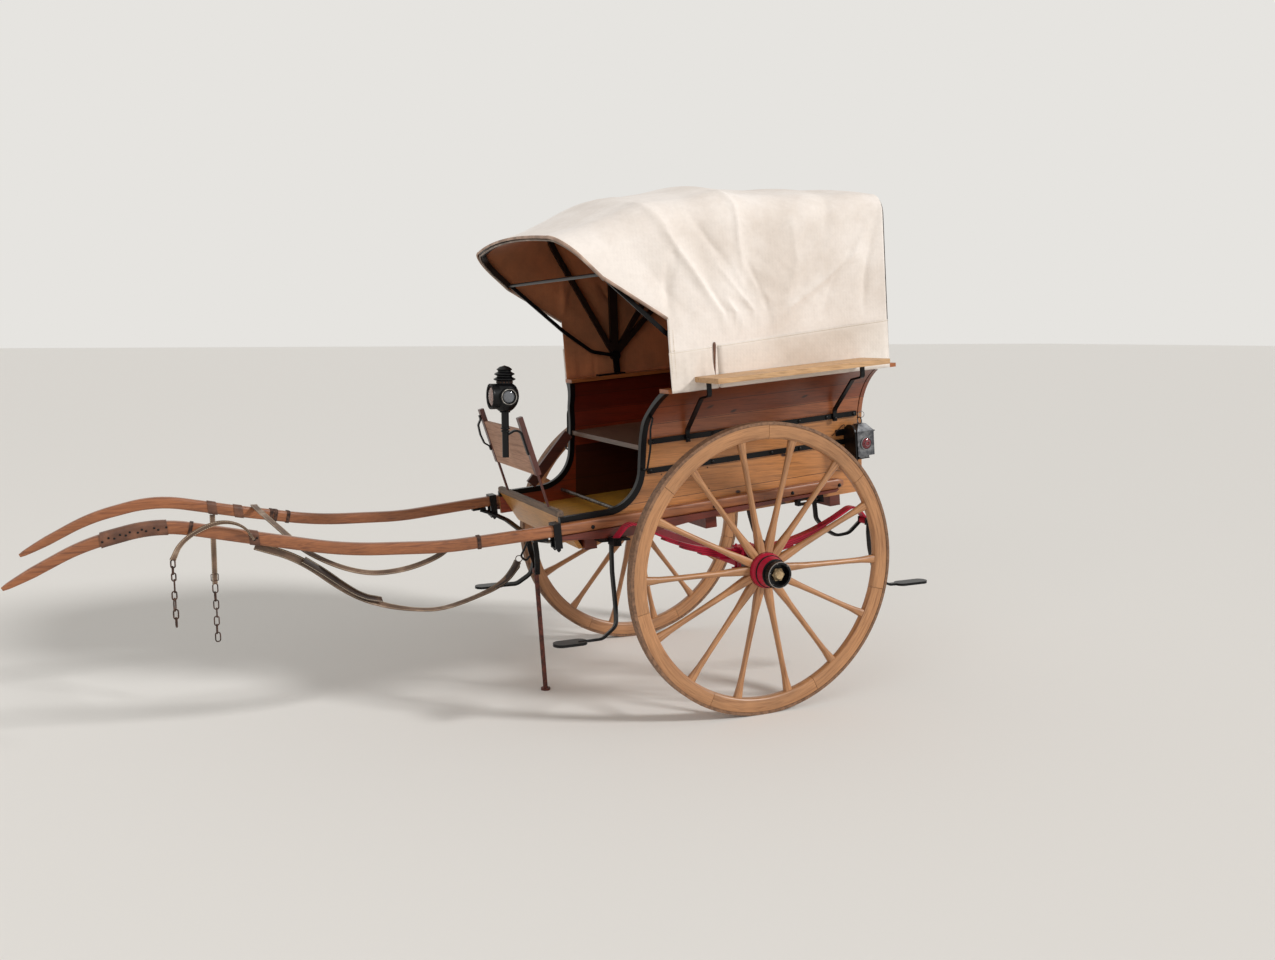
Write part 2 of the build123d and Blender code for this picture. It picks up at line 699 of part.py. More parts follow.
# Dash and its lamp
def dash_place(level=True):
    """The foot of the dash, leaning forward; parked places include the body's tip."""
    lean = Pos(dash_foot_x - 8, 0, toe_side_height + moulding) * Rot(0, dash_lean, 0)
    return lean if level else Rot(0, nose_down, 0) * lean


def dash():
    frame = dash_place()
    uprights = []
    for y in (-dash_y, dash_y):
        half = dash_stick / 2
        side = dash_stick_width / 2
        stick = block(-half, half, y - side, y + side, dash_rod, dash_height)
        uprights.append(frame * (stick + rod((0, y, 0.5), (0, y, dash_rod + 20), 6)))
    keep("dash_uprights", Compound(uprights))
    edge = dash_y - dash_stick_width / 2
    panel = block(-8, 8, -edge, edge, dash_rod, dash_rod + dash_board)
    keep("dash_board", frame * panel)
    y = side_inner - band_proud - seat_gap - 10
    brace = bar(((446, -y, 566), (668, -y, 338)), None, Rectangle(20, 50))
    keep("side_brace", brace)


def lamp():
    """Round oil lamp with a stacked crown, a front glass and a side glass."""
    crown = ((46, 44), (34, 54), (34, 64), (46, 70), (46, 74), (32, 82), (32, 86), (43, 92),
             (43, 95), (28, 104), (28, 108), (34, 113), (20, 124), (0, 130))
    edges = [Line((0, -140), (16, -140)), Line((16, -140), (16, -64)), Line((16, -64), (26, -62)),
             ThreePointArc((26, -62), (lamp_radius, 0), (46, 44)), *Polyline(*crown).edges(),
             Line((0, 130), (0, -140))]
    body = revolve(Plane.XZ * make_face(edges), axis=Axis.Z)
    glasses = []
    for turn, size in ((90, 54.0), (180, 38.0)):
        face = Rot(0, 0, turn - 90)
        body += face * rod((20, 0, 0), (lamp_radius + 2, 0, 0), size)
        body -= face * rod((lamp_radius - 8, 0, 0), (lamp_radius + 4, 0, 0), size - 10)
        glasses.append(face * rod((lamp_radius - 7.7, 0, 0), (lamp_radius - 2, 0, 0), size - 10.3))
    place = Pos(lamp_parked_x, lamp_y, lamp_parked_z)
    keep("lamp", place * body, level=False)
    keep("lamp_glasses", place * Compound(glasses), level=False)
    tube_top = lamp_parked_z - 140
    tube = Pos(lamp_parked_x, lamp_y, tube_top - 120) * Cylinder(14, 120 - seat_gap, align=BASE)
    frame = dash_place(level=False)
    edge = dash_y + 8
    front = dash_stick / 2 + seat_gap + lamp_arm / 2
    low = (frame * Pos(front, edge, 250)).position
    high = (frame * Pos(front, edge, 378)).position
    route = (tuple(low), tuple(high), (high.X + 34, edge, tube_top - 14),
             (lamp_parked_x - 8, lamp_y, tube_top - 24))
    arm = bar(route, (30, 20), Rectangle(16, lamp_arm))
    front = dash_stick / 2 + seat_gap + spare_arm / 2
    spare = []
    for proud, z in ((0, 388), (0, 368), (20, 346), (25, 300), (20, 254), (0, 232), (0, 212)):
        spare.append(tuple((frame * Pos(front + proud, -edge, z)).position))
    bare = bar(spare, (12, 20, 40, 20, 12), Rectangle(16, spare_arm))
    keep("lamp_brackets", Compound([tube + arm, bare]), level=False)


# Harness straps and chains, in the parked frame from the axle line
# Each strap's route, its bends and the way its width lies
strap_runs = (
    (((2086, 393.3, 245), (2118, 393.3, 298), (2190, 393.3, 322), (2270, 393.3, 300),
      (2346, 393.3, 248), (2374, 393.3, 186)), (40, 90, 90, 50), (0, 1, 0)),
    (((2078, 352, 210.4), (1914, 362, 149), (1734, 317, -8), (1597, 264, -92), (1433, 211, -145),
      (1302, 159, -168), (1152, 106, -148), (995, 53, -110), (904, 10, -32)),
     (300, 400, 300, 300, 300, 300, 300), (0, 1, 0)),
    (((2012, -385, 261.6), (2012, -320, 261.6), (1985, -120, 243), (1942, 160, 216),
      (1895, 320, 172), (1796, 376, 118), (1700, 388, 80), (1607, 396, 64), (1476, 408, 76),
      (1330, 420, 134)), (60, 300, 300, 200, 150, 250, 300, 250), (1, 0, 0)),
    (((2190, -346, 234), (2193, -346, -76)), None, (1, 0, 0)),
)
# Each link's length and width
near_chain = ((36, 20), (36, 20), (36, 20), (56, 40), (38, 22), (54, 40), (42, 22), (42, 22))
far_chain = ((48, 26),) * 7


def link_face(length, width):
    """A long octagon, the outline of a link."""
    x = length / 2
    y = width / 2
    cut = width * 0.28
    return make_face(Polyline((x - cut, y), (x, y - cut), (x, cut - y), (x - cut, -y), (cut - x, -y),
                              (-x, cut - y), (-x, y - cut), (cut - x, y), close=True))


def chain(x, y, z, sizes):
    """Links hanging from a point, each turned a quarter from the last."""
    links = []
    for i, (length, width) in enumerate(sizes):
        z -= length / 2 - (link_wire if i else 0)
        flat = link_face(length, width) - link_face(length - 2 * link_wire, width - 2 * link_wire)
        solid = Rot(0, 90, 0) * extrude(flat, link_wire / 2, both=True)
        links.append(Pos(x, y, z) * Rot(0, 0, 90 * (i % 2)) * solid)
        z -= length / 2 - link_wire + seat_gap
    return links


def harness():
    strap = Rectangle(strap_width, strap_leather)
    runs = []
    for route, bends, across in strap_runs:
        runs.append(bar(route, bends, strap, across=across))
    keep("harness_straps", Compound(runs), level=False)
    x, y, z = strap_runs[0][0][-1]
    links = chain(x, y, z - 1.2, near_chain)
    x, y, z = strap_runs[-1][0][-1]
    links += chain(x, y, z - seat_gap, far_chain)
    keep("chains", Compound(links), level=False)


# Hood
def arch(low, crown, rise, inset):
    """A run up one side, over round corners and an arched crown, and down the other."""
    half = canvas_y - inset
    corner = hood_corner - inset
    shoulder = crown - inset - rise
    k = corner * (1 - sin(radians(45)))
    return [
        Line((-half, low), (-half, shoulder - corner)),
        ThreePointArc((-half, shoulder - corner), (-half + k, shoulder - k),
                      (-half + corner, shoulder)),
        ThreePointArc((-half + corner, shoulder), (0, shoulder + rise), (half - corner, shoulder)),
        ThreePointArc((half - corner, shoulder), (half - k, shoulder - k),
                      (half, shoulder - corner)),
        Line((half, shoulder - corner), (half, low)),
    ]


def hoop_face(plane, low, crown, rise, inset, depth):
    """The hoop-shaped face between two arches."""
    outer = arch(low, crown, rise, inset)
    inner = arch(low, crown, rise, inset + depth)
    feet = [Line(outer[0] @ 0, inner[0] @ 0), Line(outer[-1] @ 1, inner[-1] @ 1)]
    return plane * make_face([*outer, *feet, *inner])


def across(x):
    """An upright plane across the cart."""
    return Plane(origin=(x, 0, 0), x_dir=(0, 1, 0), z_dir=(1, 0, 0))


def rim_plane():
    """The plane of the raised front hoop."""
    a = radians(rim_pitch)
    return Plane(origin=(rim_x, 0, rim_z), x_dir=(0, 1, 0), z_dir=(sin(a), 0, -cos(a)))


def hood_shell(inset, depth):
    """A layer of the hood: its body, and the front that rises to the hoop."""
    faces = [hoop_face(across(x), hem_z, crown, crown_rise, inset, depth)
             for x, crown in hood_stations]
    x, crown = hood_stations[-1]
    root = hoop_face(across(x), elbow_z, crown, crown_rise, inset, depth)
    tip = hoop_face(rim_plane(), 0, rim_height, rim_rise, inset, depth)
    return loft(faces, ruled=True) + loft([root, tip], ruled=True)


def hood_irons(y):
    """Posts on the rails, S-shaped irons out to the hoop's corners and the rod between them."""
    top = rail_z + rail_thickness
    half = iron_thickness / 2
    post = block(pivot_x - 17, pivot_x + 17, y - half, y + half, top, pivot_z)
    post += rod((pivot_x, y - half, pivot_z), (pivot_x, y + half, pivot_z), 26)
    post += block(pivot_x - 30, pivot_x + 120, y - 40, y + half, top, top + 8)
    tip = (rim_x - 8, y, rim_z + 14)
    route = ((pivot_x, y, pivot_z), (pivot_x + 135, y, pivot_z + 33), (pivot_x + 278, y, elbow_z - 53),
             tip)
    post += bar(route, (60, 60), Rectangle(iron_thickness, 18))
    left, right = both(post)
    reach = canvas_y - canvas - hoop_depth - 2 * seat_gap
    return left + right + rod((tip[0], -reach, tip[2]), (tip[0], reach, tip[2]), 8)


def hood():
    """The canvas, its bows, the front hoop and the irons that carry them."""
    rear_crown = hood_stations[0][1]
    curtain = arch(hem_z + curtain_lift, rear_crown, crown_rise, canvas / 2)
    curtain.append(Line(curtain[-1] @ 1, curtain[0] @ 0))
    cover = hood_shell(0, canvas) + extrude(across(hood_rear) * make_face(curtain), amount=canvas)
    keep("hood_canvas", cover)
    skin = canvas + seat_gap
    layer = hood_shell(skin, bow_depth)
    bow_y = canvas_y - skin - bow_depth / 2
    boss = Pos(pivot_x, bow_y - bow_depth / 2, pivot_z) * Rot(-90, 0, 0) * Cylinder(
        24, bow_depth, align=BASE)
    left, right = both(boss)
    bows = left + right
    for angle, width in bow_angles:
        slab = Pos(pivot_x, 0, pivot_z) * Rot(0, angle, 0) * block(
            -width / 2, width / 2, -700, 700, 0, 1300)
        bows = bows + (layer & slab)
    keep("hood_bows", bows)
    iron_y = bow_y - bow_depth / 2 - seat_gap - iron_thickness / 2
    keep("hood_irons", hood_irons(iron_y))
    slab = rim_plane() * Pos(0, 200, -15) * Box(1400, 400, 24)
    keep("hood_hoop", hood_shell(skin, hoop_depth) & slab)


wheel()
axle()
sides()
floor()
side_straps()
rails()
tail()
underframe()
shafts()
lantern()
springs()
spring_irons()
steps()
prop()
dash()
lamp()
harness()
hood()

boxes = [shape.bounding_box() for shape in pieces.values()]
middle = (min(box.min.X for box in boxes) + max(box.max.X for box in boxes)) / 2
place = Pos(-middle, 0, wheel_radius)
for name, shape in pieces.items():
    export_step(place * shape, "parts/" + name + ".step")
print(len(pieces), "pieces, axle at x", round(-middle, 2))
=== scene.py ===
"""Looks of a hooded two-wheeled horse cart: finishes, canvas, wheels, straps, lamps and stage."""
import math

import bmesh
import bpy
from mathutils import Matrix, Vector, noise


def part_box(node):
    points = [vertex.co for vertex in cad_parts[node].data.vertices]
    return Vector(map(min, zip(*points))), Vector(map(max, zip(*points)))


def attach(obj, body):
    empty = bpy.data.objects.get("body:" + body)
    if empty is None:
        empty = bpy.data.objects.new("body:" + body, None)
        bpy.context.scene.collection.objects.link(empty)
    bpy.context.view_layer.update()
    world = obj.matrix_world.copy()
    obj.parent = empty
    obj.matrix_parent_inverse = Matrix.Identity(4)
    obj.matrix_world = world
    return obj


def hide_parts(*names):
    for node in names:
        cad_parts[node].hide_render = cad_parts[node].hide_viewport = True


bl_info = {
    "name": "Hooded Cart Looks",
    "version": (1, 0, 0),
    "blender": (4, 5, 0),
    "location": "3D View > Sidebar > Cart",
    "description": "Finishes, canvas, wheels, straps, lamps and stage of a hooded two-wheeled cart",
    "category": "Object",
}

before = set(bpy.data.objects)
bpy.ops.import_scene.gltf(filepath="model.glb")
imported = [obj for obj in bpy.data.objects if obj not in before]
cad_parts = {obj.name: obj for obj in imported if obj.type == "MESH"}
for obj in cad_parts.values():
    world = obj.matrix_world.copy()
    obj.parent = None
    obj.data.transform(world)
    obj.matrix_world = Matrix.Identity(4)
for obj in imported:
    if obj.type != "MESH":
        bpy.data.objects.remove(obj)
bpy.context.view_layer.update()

# The body lies tipped about the axle; lengths are metres
NOSE_DOWN = math.radians(5.0)
UP = (math.sin(NOSE_DOWN), 0, math.cos(NOSE_DOWN))
AXLE = sum(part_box("axle"), Vector()) / 2
HUB_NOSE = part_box("hub_left")[1].y
BODY = "cart"
# Painted shade in the hollow under the bench, on the inside boards: below this height, and behind this
# place
SEAT_TOP = 0.50
SEAT_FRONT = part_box("seat")[1].x - 0.02
SIDES = ((1, "left"), (-1, "right"))
# How a ring's rows close: the last joins the first, and there are no ends
RING = {"along": True, "caps": False}


def level(x, y, z):
    """A point forward, left and above the axle with the body level, as it lies parked."""
    lean, _, rise = UP
    return AXLE + Vector((x * rise + z * lean, y, z * rise - x * lean))


def parked(x, y, z):
    """A point forward, left and above the axle in the parked frame."""
    return AXLE + Vector((x, y, z))


def linear(colour):
    """An sRGB hex colour as linear red, green, blue and alpha."""
    channels = [int(colour[i:i + 2], 16) / 255 for i in (1, 3, 5)]
    return (*[c / 12.92 if c <= 0.04045 else ((c + 0.055) / 1.055) ** 2.4 for c in channels], 1.0)

def clamp(value):
    """A number held between 0 and 1."""
    return max(0.0, min(1.0, value))


def smooth(share):
    """A share that starts and ends gently."""
    return share * share * (3 - 2 * share)


def span(low, high, steps):
    """Evenly spaced numbers from low to high."""
    return [low + (high - low) * i / steps for i in range(steps + 1)]


def outward(angle):
    """The direction out from the axle at an angle round the wheel."""
    return Vector((math.sin(angle), 0, math.cos(angle)))


# User settings
def colour_setting(name, description, colour):
    """A colour that the user may change."""
    return bpy.props.FloatVectorProperty(name=name, description=description, subtype="COLOR",
                                         size=4, min=0.0, max=1.0, default=linear(colour))


def length_setting(name, description, metres):
    """A length that the user may change."""
    return bpy.props.FloatProperty(name=name, description=description, unit="LENGTH",
                                   min=0.0001, max=10.0, default=metres)


class CartColours(bpy.types.PropertyGroup):
    """Main colours of the cart"""
    pine: colour_setting("Pine", "Varnished lower side boards", "#c8854a")
    mahogany: colour_setting("Mahogany", "Darker upper side boards", "#86411f")
    ash: colour_setting("Ash", "Wheels and spokes", "#b98559")
    shaft: colour_setting("Shaft", "Varnished shafts", "#9c6039")
    canvas: colour_setting("Canvas", "Outside of the hood", "#f0e7df")
    lining: colour_setting("Lining", "Inside of the hood", "#c0764b")
    crimson: colour_setting("Crimson", "Painted hubs and springs", "#b01c38")
    black: colour_setting("Black", "Painted irons", "#09090b")
    leather: colour_setting("Leather", "Straps", "#6d5442")


class CartSizes(bpy.types.PropertyGroup):
    """Sizes of the added pieces"""
    spokes: bpy.props.IntProperty(name="Spokes", description="Spokes in each wheel",
                                  min=8, max=24, default=14)
    felloes: bpy.props.IntProperty(name="Felloes", description="Wooden arcs in each rim",
                                   min=3, max=12, default=7)
    stitch: length_setting("Stitch", "Length of one stitch with its gap", 0.009)
    canvas_thickness: length_setting("Canvas thickness", "Thickness of the hood's cloth", 0.003)
    sag: length_setting("Sag", "How far the canvas sinks between two bows", 0.011)
    strap: length_setting("Strap width", "Width of the harness straps", 0.030)
    bolt: length_setting("Bolt head", "Diameter of the coach bolt heads", 0.017)


# Node and mesh helpers
def add(tree, kind, inputs=None, stops=(), **settings):
    """One node with its settings; an input takes a value, a socket or a node's first output."""
    node = tree.nodes.new(kind)
    for name, value in settings.items():
        setattr(node, name, value)
    for socket, value in (inputs or {}).items():
        if isinstance(value, bpy.types.Node):
            value = value.outputs[0]
        if isinstance(value, bpy.types.NodeSocket):
            tree.links.new(value, node.inputs[socket])
        else:
            node.inputs[socket].default_value = value
    if stops:
        band = node.color_ramp.elements
        while len(band) < len(stops):
            band.new(0.5)
        for element, (position, colour) in zip(band, stops):
            element.position = position
            element.color = colour
    return node


def placed(name, data):
    """An object in the scene for a mesh, a light or a camera."""
    made = bpy.data.objects.new(name, data)
    bpy.context.scene.collection.objects.link(made)
    return made


def solid(name, row_sets, finishes, sharp=50, around=True, along=False, caps=True):
    """A mesh object over sets of rows of points, its faces turned outwards.

    around closes each row, along joins the last row to the first, caps closes the two ends.
    """
    points, faces = [], []
    for rows in row_sets:
        first, width, count = len(points), len(rows[0]), len(rows)
        for row in rows:
            points.extend(row)
        for i in range(count if along else count - 1):
            for j in range(width if around else width - 1):
                near, far = first + i * width, first + (i + 1) % count * width
                k = (j + 1) % width
                faces.append((near + j, near + k, far + k, far + j))
        if caps and around and not along:
            last = first + (count - 1) * width
            faces.append(tuple(first + j for j in reversed(range(width))))
            faces.append(tuple(last + j for j in range(width)))
    mesh = bpy.data.meshes.new(name)
    mesh.from_pydata([tuple(p) for p in points], [], faces)
    work = bmesh.new()
    work.from_mesh(mesh)
    bmesh.ops.recalc_face_normals(work, faces=work.faces)
    work.to_mesh(mesh)
    work.free()
    mesh.shade_smooth()
    mesh.set_sharp_from_angle(angle=math.radians(sharp))
    for finish in finishes:
        mesh.materials.append(FINISHES[finish])
    return placed(name, mesh)


def fit(made, body, slot):
    """Rides a finished piece on a body; slot is not used."""
    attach(made, body)
    return made


def piece(name, row_sets, finish, slot, body=BODY, **how):
    """A finished piece of one material, riding on a body."""
    return fit(solid(name, row_sets, [finish], **how), body, slot)


def disc(radius, count=10):
    """A round section."""
    turns = [2 * math.pi * i / count for i in range(count)]
    return [(radius * math.cos(a), radius * math.sin(a)) for a in turns]


def pad(width, height, corner):
    """A rectangular section with cut corners."""
    u, v = width / 2, height / 2
    return [(u - corner, -v), (u, corner - v), (u, v - corner), (u - corner, v),
            (corner - u, v), (-u, v - corner), (-u, corner - v), (corner - u, -v)]


def eased(points, times=3):
    """A smooth line that cuts the corners of a route and keeps its ends."""
    line = [Vector(p) for p in points]
    for _ in range(times):
        cut = [line[0]]
        for a, b in zip(line, line[1:]):
            cut += [a.lerp(b, 0.25), a.lerp(b, 0.75)]
        line = [*cut, line[-1]]
    return line


def bent(points, radii):
    """A line through points, its corners bent to the given radii."""
    points = [Vector(p) for p in points]
    line = [points[0]]
    for a, b, c, radius in zip(points, points[1:], points[2:], radii):
        back, ahead = (a - b).normalized(), (c - b).normalized()
        half = back.angle(ahead) / 2
        centre = b + (back + ahead).normalized() * (radius / math.sin(half))
        first = b + back * (radius / math.tan(half)) - centre
        turn = math.pi - 2 * half
        axis = back.cross(ahead).normalized()
        line += [centre + Matrix.Rotation(-turn * i / 8, 3, axis) @ first for i in range(9)]
    return [*line, points[-1]]


def spread(line, step):
    """The line with points added, so that none lie further apart than step."""
    full = [line[0]]
    for a, b in zip(line, line[1:]):
        count = max(1, math.ceil((b - a).length / step))
        full += [a.lerp(b, i / count) for i in range(1, count + 1)]
    return full


def swept(path, section, across, scale=None, twist=(0.0,)):
    """Rows of a section carried along a path; twist lists its turns from end to end."""
    rows = []
    side = Vector(across)
    for i, point in enumerate(path):
        ahead = (path[min(i + 1, len(path) - 1)] - path[max(i - 1, 0)]).normalized()
        side = (side - ahead * side.dot(ahead)).normalized()
        share = i / (len(path) - 1)
        place = share * (len(twist) - 1)
        low = min(int(place), len(twist) - 1)
        high = min(low + 1, len(twist) - 1)
        turn = math.radians(twist[low] + (twist[high] - twist[low]) * (place - low))
        width = Matrix.Rotation(turn, 3, ahead) @ side
        rise = ahead.cross(width)
        grow = scale(share) if scale else 1.0
        rows.append([point + width * (u * grow) + rise * (v * grow) for u, v in section])
    return rows


def turned(profile, centre, axis, count=24):
    """Rows of a profile of (radius, height) points revolved about an axis."""
    axis = Vector(axis).normalized()
    first = axis.orthogonal().normalized()
    second = axis.cross(first)
    turns = [2 * math.pi * i / count for i in range(count)]
    return [[centre + axis * h + (first * math.cos(a) + second * math.sin(a)) * r for a in turns]
            for r, h in profile]

def hoop_of(radius, wire, centre, axis, count=28):
    """Rows of a round ring of wire about an axis."""
    return turned([(radius + u, v) for u, v in disc(wire, 8)], centre, axis, count)


# Geometry Nodes
def new_tree(name, **inputs):
    """A geometry tree with named inputs and one Mesh output, and the sockets of its inputs."""
    tree = bpy.data.node_groups.new(name, "GeometryNodeTree")
    for label, kind in inputs.items():
        tree.interface.new_socket(label, in_out="INPUT", socket_type="NodeSocket" + kind)
    tree.interface.new_socket("Mesh", in_out="OUTPUT", socket_type="NodeSocketGeometry")
    return tree, add(tree, "NodeGroupInput").outputs


def end_tree(tree, given, **instances):
    """Sets the instances, makes them real and gives them their finish."""
    copies = add(tree, "GeometryNodeInstanceOnPoints", instances)
    real = add(tree, "GeometryNodeRealizeInstances", {"Geometry": copies})
    finish = add(tree, "GeometryNodeSetMaterial", {"Geometry": real, "Material": given["Finish"]})
    add(tree, "NodeGroupOutput", {"Mesh": finish})
    return tree


def repeat_tree():
    """A part set on each point of a mesh, by the point's stored turn and one size."""
    tree, given = new_tree("Repeat part", Points="Geometry", Part="Object", Size="Float",
                           Finish="Material")
    part = add(tree, "GeometryNodeObjectInfo", {"Object": given["Part"]})
    turn = add(tree, "GeometryNodeInputNamedAttribute", {"Name": "turn"}, data_type="FLOAT_VECTOR")
    spin = add(tree, "FunctionNodeEulerToRotation", {"Euler": turn.outputs["Attribute"]})
    return end_tree(tree, given, Points=given["Points"], Instance=part.outputs["Geometry"],
                    Rotation=spin, Scale=given["Size"])


def wheel_tree():
    """A part copied round the Y axis, a whole number of times."""
    tree, given = new_tree("Round the wheel", Part="Geometry", Count="Int", Start="Float",
                           Centre="Vector", Finish="Material")
    points = add(tree, "GeometryNodePoints", {"Count": given["Count"], "Position": given["Centre"]})
    share = add(tree, "ShaderNodeMath", {0: 2 * math.pi, 1: given["Count"]}, operation="DIVIDE")
    index = add(tree, "GeometryNodeInputIndex")
    angle = add(tree, "ShaderNodeMath", {0: index, 1: share, 2: given["Start"]},
                operation="MULTIPLY_ADD")
    turn = add(tree, "ShaderNodeCombineXYZ", {"Y": angle})
    spin = add(tree, "FunctionNodeEulerToRotation", {"Euler": turn})
    return end_tree(tree, given, Points=points, Instance=given["Part"], Rotation=spin)


def stitch_tree():
    """A part set along a line at even spacing, turned to the line."""
    tree, given = new_tree("Stitches", Line="Geometry", Part="Object", Spacing="Float",
                           Finish="Material")
    curve = add(tree, "GeometryNodeMeshToCurve", {"Mesh": given["Line"]})
    points = add(tree, "GeometryNodeCurveToPoints", {"Curve": curve, "Length": given["Spacing"]},
                 mode="LENGTH")
    part = add(tree, "GeometryNodeObjectInfo", {"Object": given["Part"]})
    return end_tree(tree, given, Points=points, Instance=part.outputs["Geometry"],
                    Rotation=points.outputs["Rotation"])


def through(tree, source, name, **inputs):
    """Runs source through a Geometry Nodes tree and returns the plain mesh object."""
    step = source.modifiers.new("Nodes", "NODES")
    step.node_group = TREES[tree]
    for item in step.node_group.interface.items_tree:
        if item.in_out == "INPUT" and item.name.lower() in inputs:
            step[item.identifier] = inputs[item.name.lower()]
    bpy.context.view_layer.update()
    graph = bpy.context.evaluated_depsgraph_get()
    mesh = bpy.data.meshes.new_from_object(source.evaluated_get(graph))
    mesh.name = name
    bpy.data.objects.remove(source)
    return placed(name, mesh)


def scatter(name, places, finish, size, slot="black_iron", body=BODY, part="head"):
    """Copies of a small part at (place, direction) pairs, its Z axis along each direction."""
    points = bpy.data.meshes.new(name)
    points.from_pydata([tuple(p) for p, _ in places], [], [])
    turns = points.attributes.new("turn", "FLOAT_VECTOR", "POINT")
    for item, (_, way) in zip(turns.data, places):
        item.vector = tuple(Vector(way).to_track_quat("Z", "Y").to_euler())
    made = through("repeat", placed(name, points), name, part=PARTS[part], size=size,
                   finish=FINISHES[finish])
    return fit(made, body, slot)


def stitches(name, lines, slot, spacing):
    """Rows of linen stitches along lines of points."""
    mesh = bpy.data.meshes.new(name)
    edges, start = [], 0
    for run in lines:
        edges += [(start + i, start + i + 1) for i in range(len(run) - 1)]
        start += len(run)
    mesh.from_pydata([tuple(p) for run in lines for p in run], edges, [])
    made = through("stitch", placed(name, mesh), name, part=PARTS["stitch"], spacing=spacing,
                   finish=FINISHES["thread"])
    return fit(made, BODY, slot)


# Finishes
def grey(value):
    """A neutral colour."""
    return (value, value, value, 1.0)


def darken(colour, share):
    """A colour at a share of its strength."""
    return (*[c * share for c in colour[:3]], 1.0)

def material(name, **values):
    """A material, its node tree, its Principled shader and the object's coordinates."""
    made = bpy.data.materials.new(name)
    made.use_nodes = True
    tree = made.node_tree
    tree.nodes.clear()
    values = {key.replace("_", " ").title().replace("Ior", "IOR"): v for key, v in values.items()}
    shader = add(tree, "ShaderNodeBsdfPrincipled", values)
    add(tree, "ShaderNodeOutputMaterial", {"Surface": shader})
    return made, tree, shader, add(tree, "ShaderNodeTexCoord").outputs["Object"]


def dress(tree, shader, colour, height=None, strength=0.3, depth=0.0008, under=None):
    """Gives a shader its colour and the relief of a height, over another relief if there is one."""
    tree.links.new(colour.outputs[0], shader.inputs["Base Color"])
    if height:
        relief = add(tree, "ShaderNodeBump",
                     {"Strength": strength, "Distance": depth, "Height": height})
        if under:
            tree.links.new(under.outputs[0], relief.inputs["Normal"])
        tree.links.new(relief.outputs[0], shader.inputs["Normal"])


def opened(made):
    """A finish's tree, shader, present colour and coordinates, to paint more on it."""
    tree = made.node_tree
    shader = tree.nodes["Principled BSDF"]
    colour = shader.inputs["Base Color"].links[0].from_node
    return tree, shader, colour, tree.nodes["Texture Coordinate"].outputs["Object"]


def mottled(tree, where, scale, detail, stops, **more):
    """Soft spots of colour: the ramp that colours them, and the noise that places them."""
    spots = add(tree, "ShaderNodeTexNoise",
                {"Scale": scale, "Detail": detail, "Vector": where, **more})
    return add(tree, "ShaderNodeValToRGB", {"Fac": spots}, stops), spots


# The grain's lines are this many times longer than they are wide
GRAIN_STRETCH = 22


def wood(name, light, dark, grain=(1, 0, 0), line=0.004, rough=0.42, coat=0.25, attribute=None):
    """Varnished timber: long soft grain, darker pores and patches where the varnish has aged."""
    made, tree, shader, coords = material(name, roughness=rough, coat_weight=coat,
                                          coat_roughness=0.3, ior=1.5)
    if attribute:
        coords = add(tree, "ShaderNodeAttribute", attribute_name=attribute).outputs["Vector"]
    scale = tuple(1.0 / line / (GRAIN_STRETCH if axis else 1) for axis in grain)
    lines = add(tree, "ShaderNodeMapping", {"Scale": scale, "Vector": coords})
    mixed, _ = mottled(tree, lines, 0.35, 5.0, ((0.28, dark), (0.52, light), (0.78, dark)),
                       Distortion=0.6)
    pore, pores = mottled(tree, lines, 1.6, 3.0, ((0.34, grey(0.55)), (0.5, grey(1.0))))
    worn, _ = mottled(tree, coords, 3.5, 3.0, ((0.3, grey(0.72)), (0.62, grey(1.08))))
    for share, layer in ((0.55, pore), (0.75, worn)):
        mixed = add(tree, "ShaderNodeMixRGB", {"Fac": share, "Color1": mixed, "Color2": layer},
                    blend_type="MULTIPLY")
    dress(tree, shader, mixed, pores, 0.35, 0.0012)
    return made


def level_height(tree, coords):
    """The height above the axle with the body level."""
    moved = add(tree, "ShaderNodeMapping", {"Location": tuple(-AXLE), "Vector": coords})
    flat = add(tree, "ShaderNodeMapping", {"Rotation": (0.0, -NOSE_DOWN, 0.0), "Vector": moved})
    return add(tree, "ShaderNodeSeparateXYZ", {"Vector": flat}).outputs["Z"]


def knots(tree, coords, colour):
    """Dark knots over a colour, in two of five cells of 250 by 140 mm, longer than high."""
    parts = add(tree, "ShaderNodeSeparateXYZ", {"Vector": coords}).outputs
    ahead = add(tree, "ShaderNodeMath", {0: parts["X"], 1: 4.0}, operation="MULTIPLY")
    moved = add(tree, "ShaderNodeMath", {0: parts["Y"], 1: 9.0, 2: ahead}, operation="MULTIPLY_ADD")
    high = add(tree, "ShaderNodeMath", {0: parts["Z"], 1: 7.0}, operation="MULTIPLY")
    flat = add(tree, "ShaderNodeCombineXYZ", {"X": moved, "Y": high})
    cells = add(tree, "ShaderNodeTexVoronoi", {"Scale": 1.0, "Vector": flat},
                voronoi_dimensions="2D")
    pick = add(tree, "ShaderNodeSeparateXYZ", {"Vector": cells.outputs["Color"]})
    few = add(tree, "ShaderNodeMath", {0: pick, 1: 0.4}, operation="LESS_THAN")
    spot = add(tree, "ShaderNodeValToRGB", {"Fac": cells}, ((0.035, grey(1.0)), (0.07, grey(0.0))))
    share = add(tree, "ShaderNodeMath", {0: few, 1: spot}, operation="MULTIPLY")
    return add(tree, "ShaderNodeMixRGB",
               {"Fac": share, "Color1": colour, "Color2": linear("#331509")})


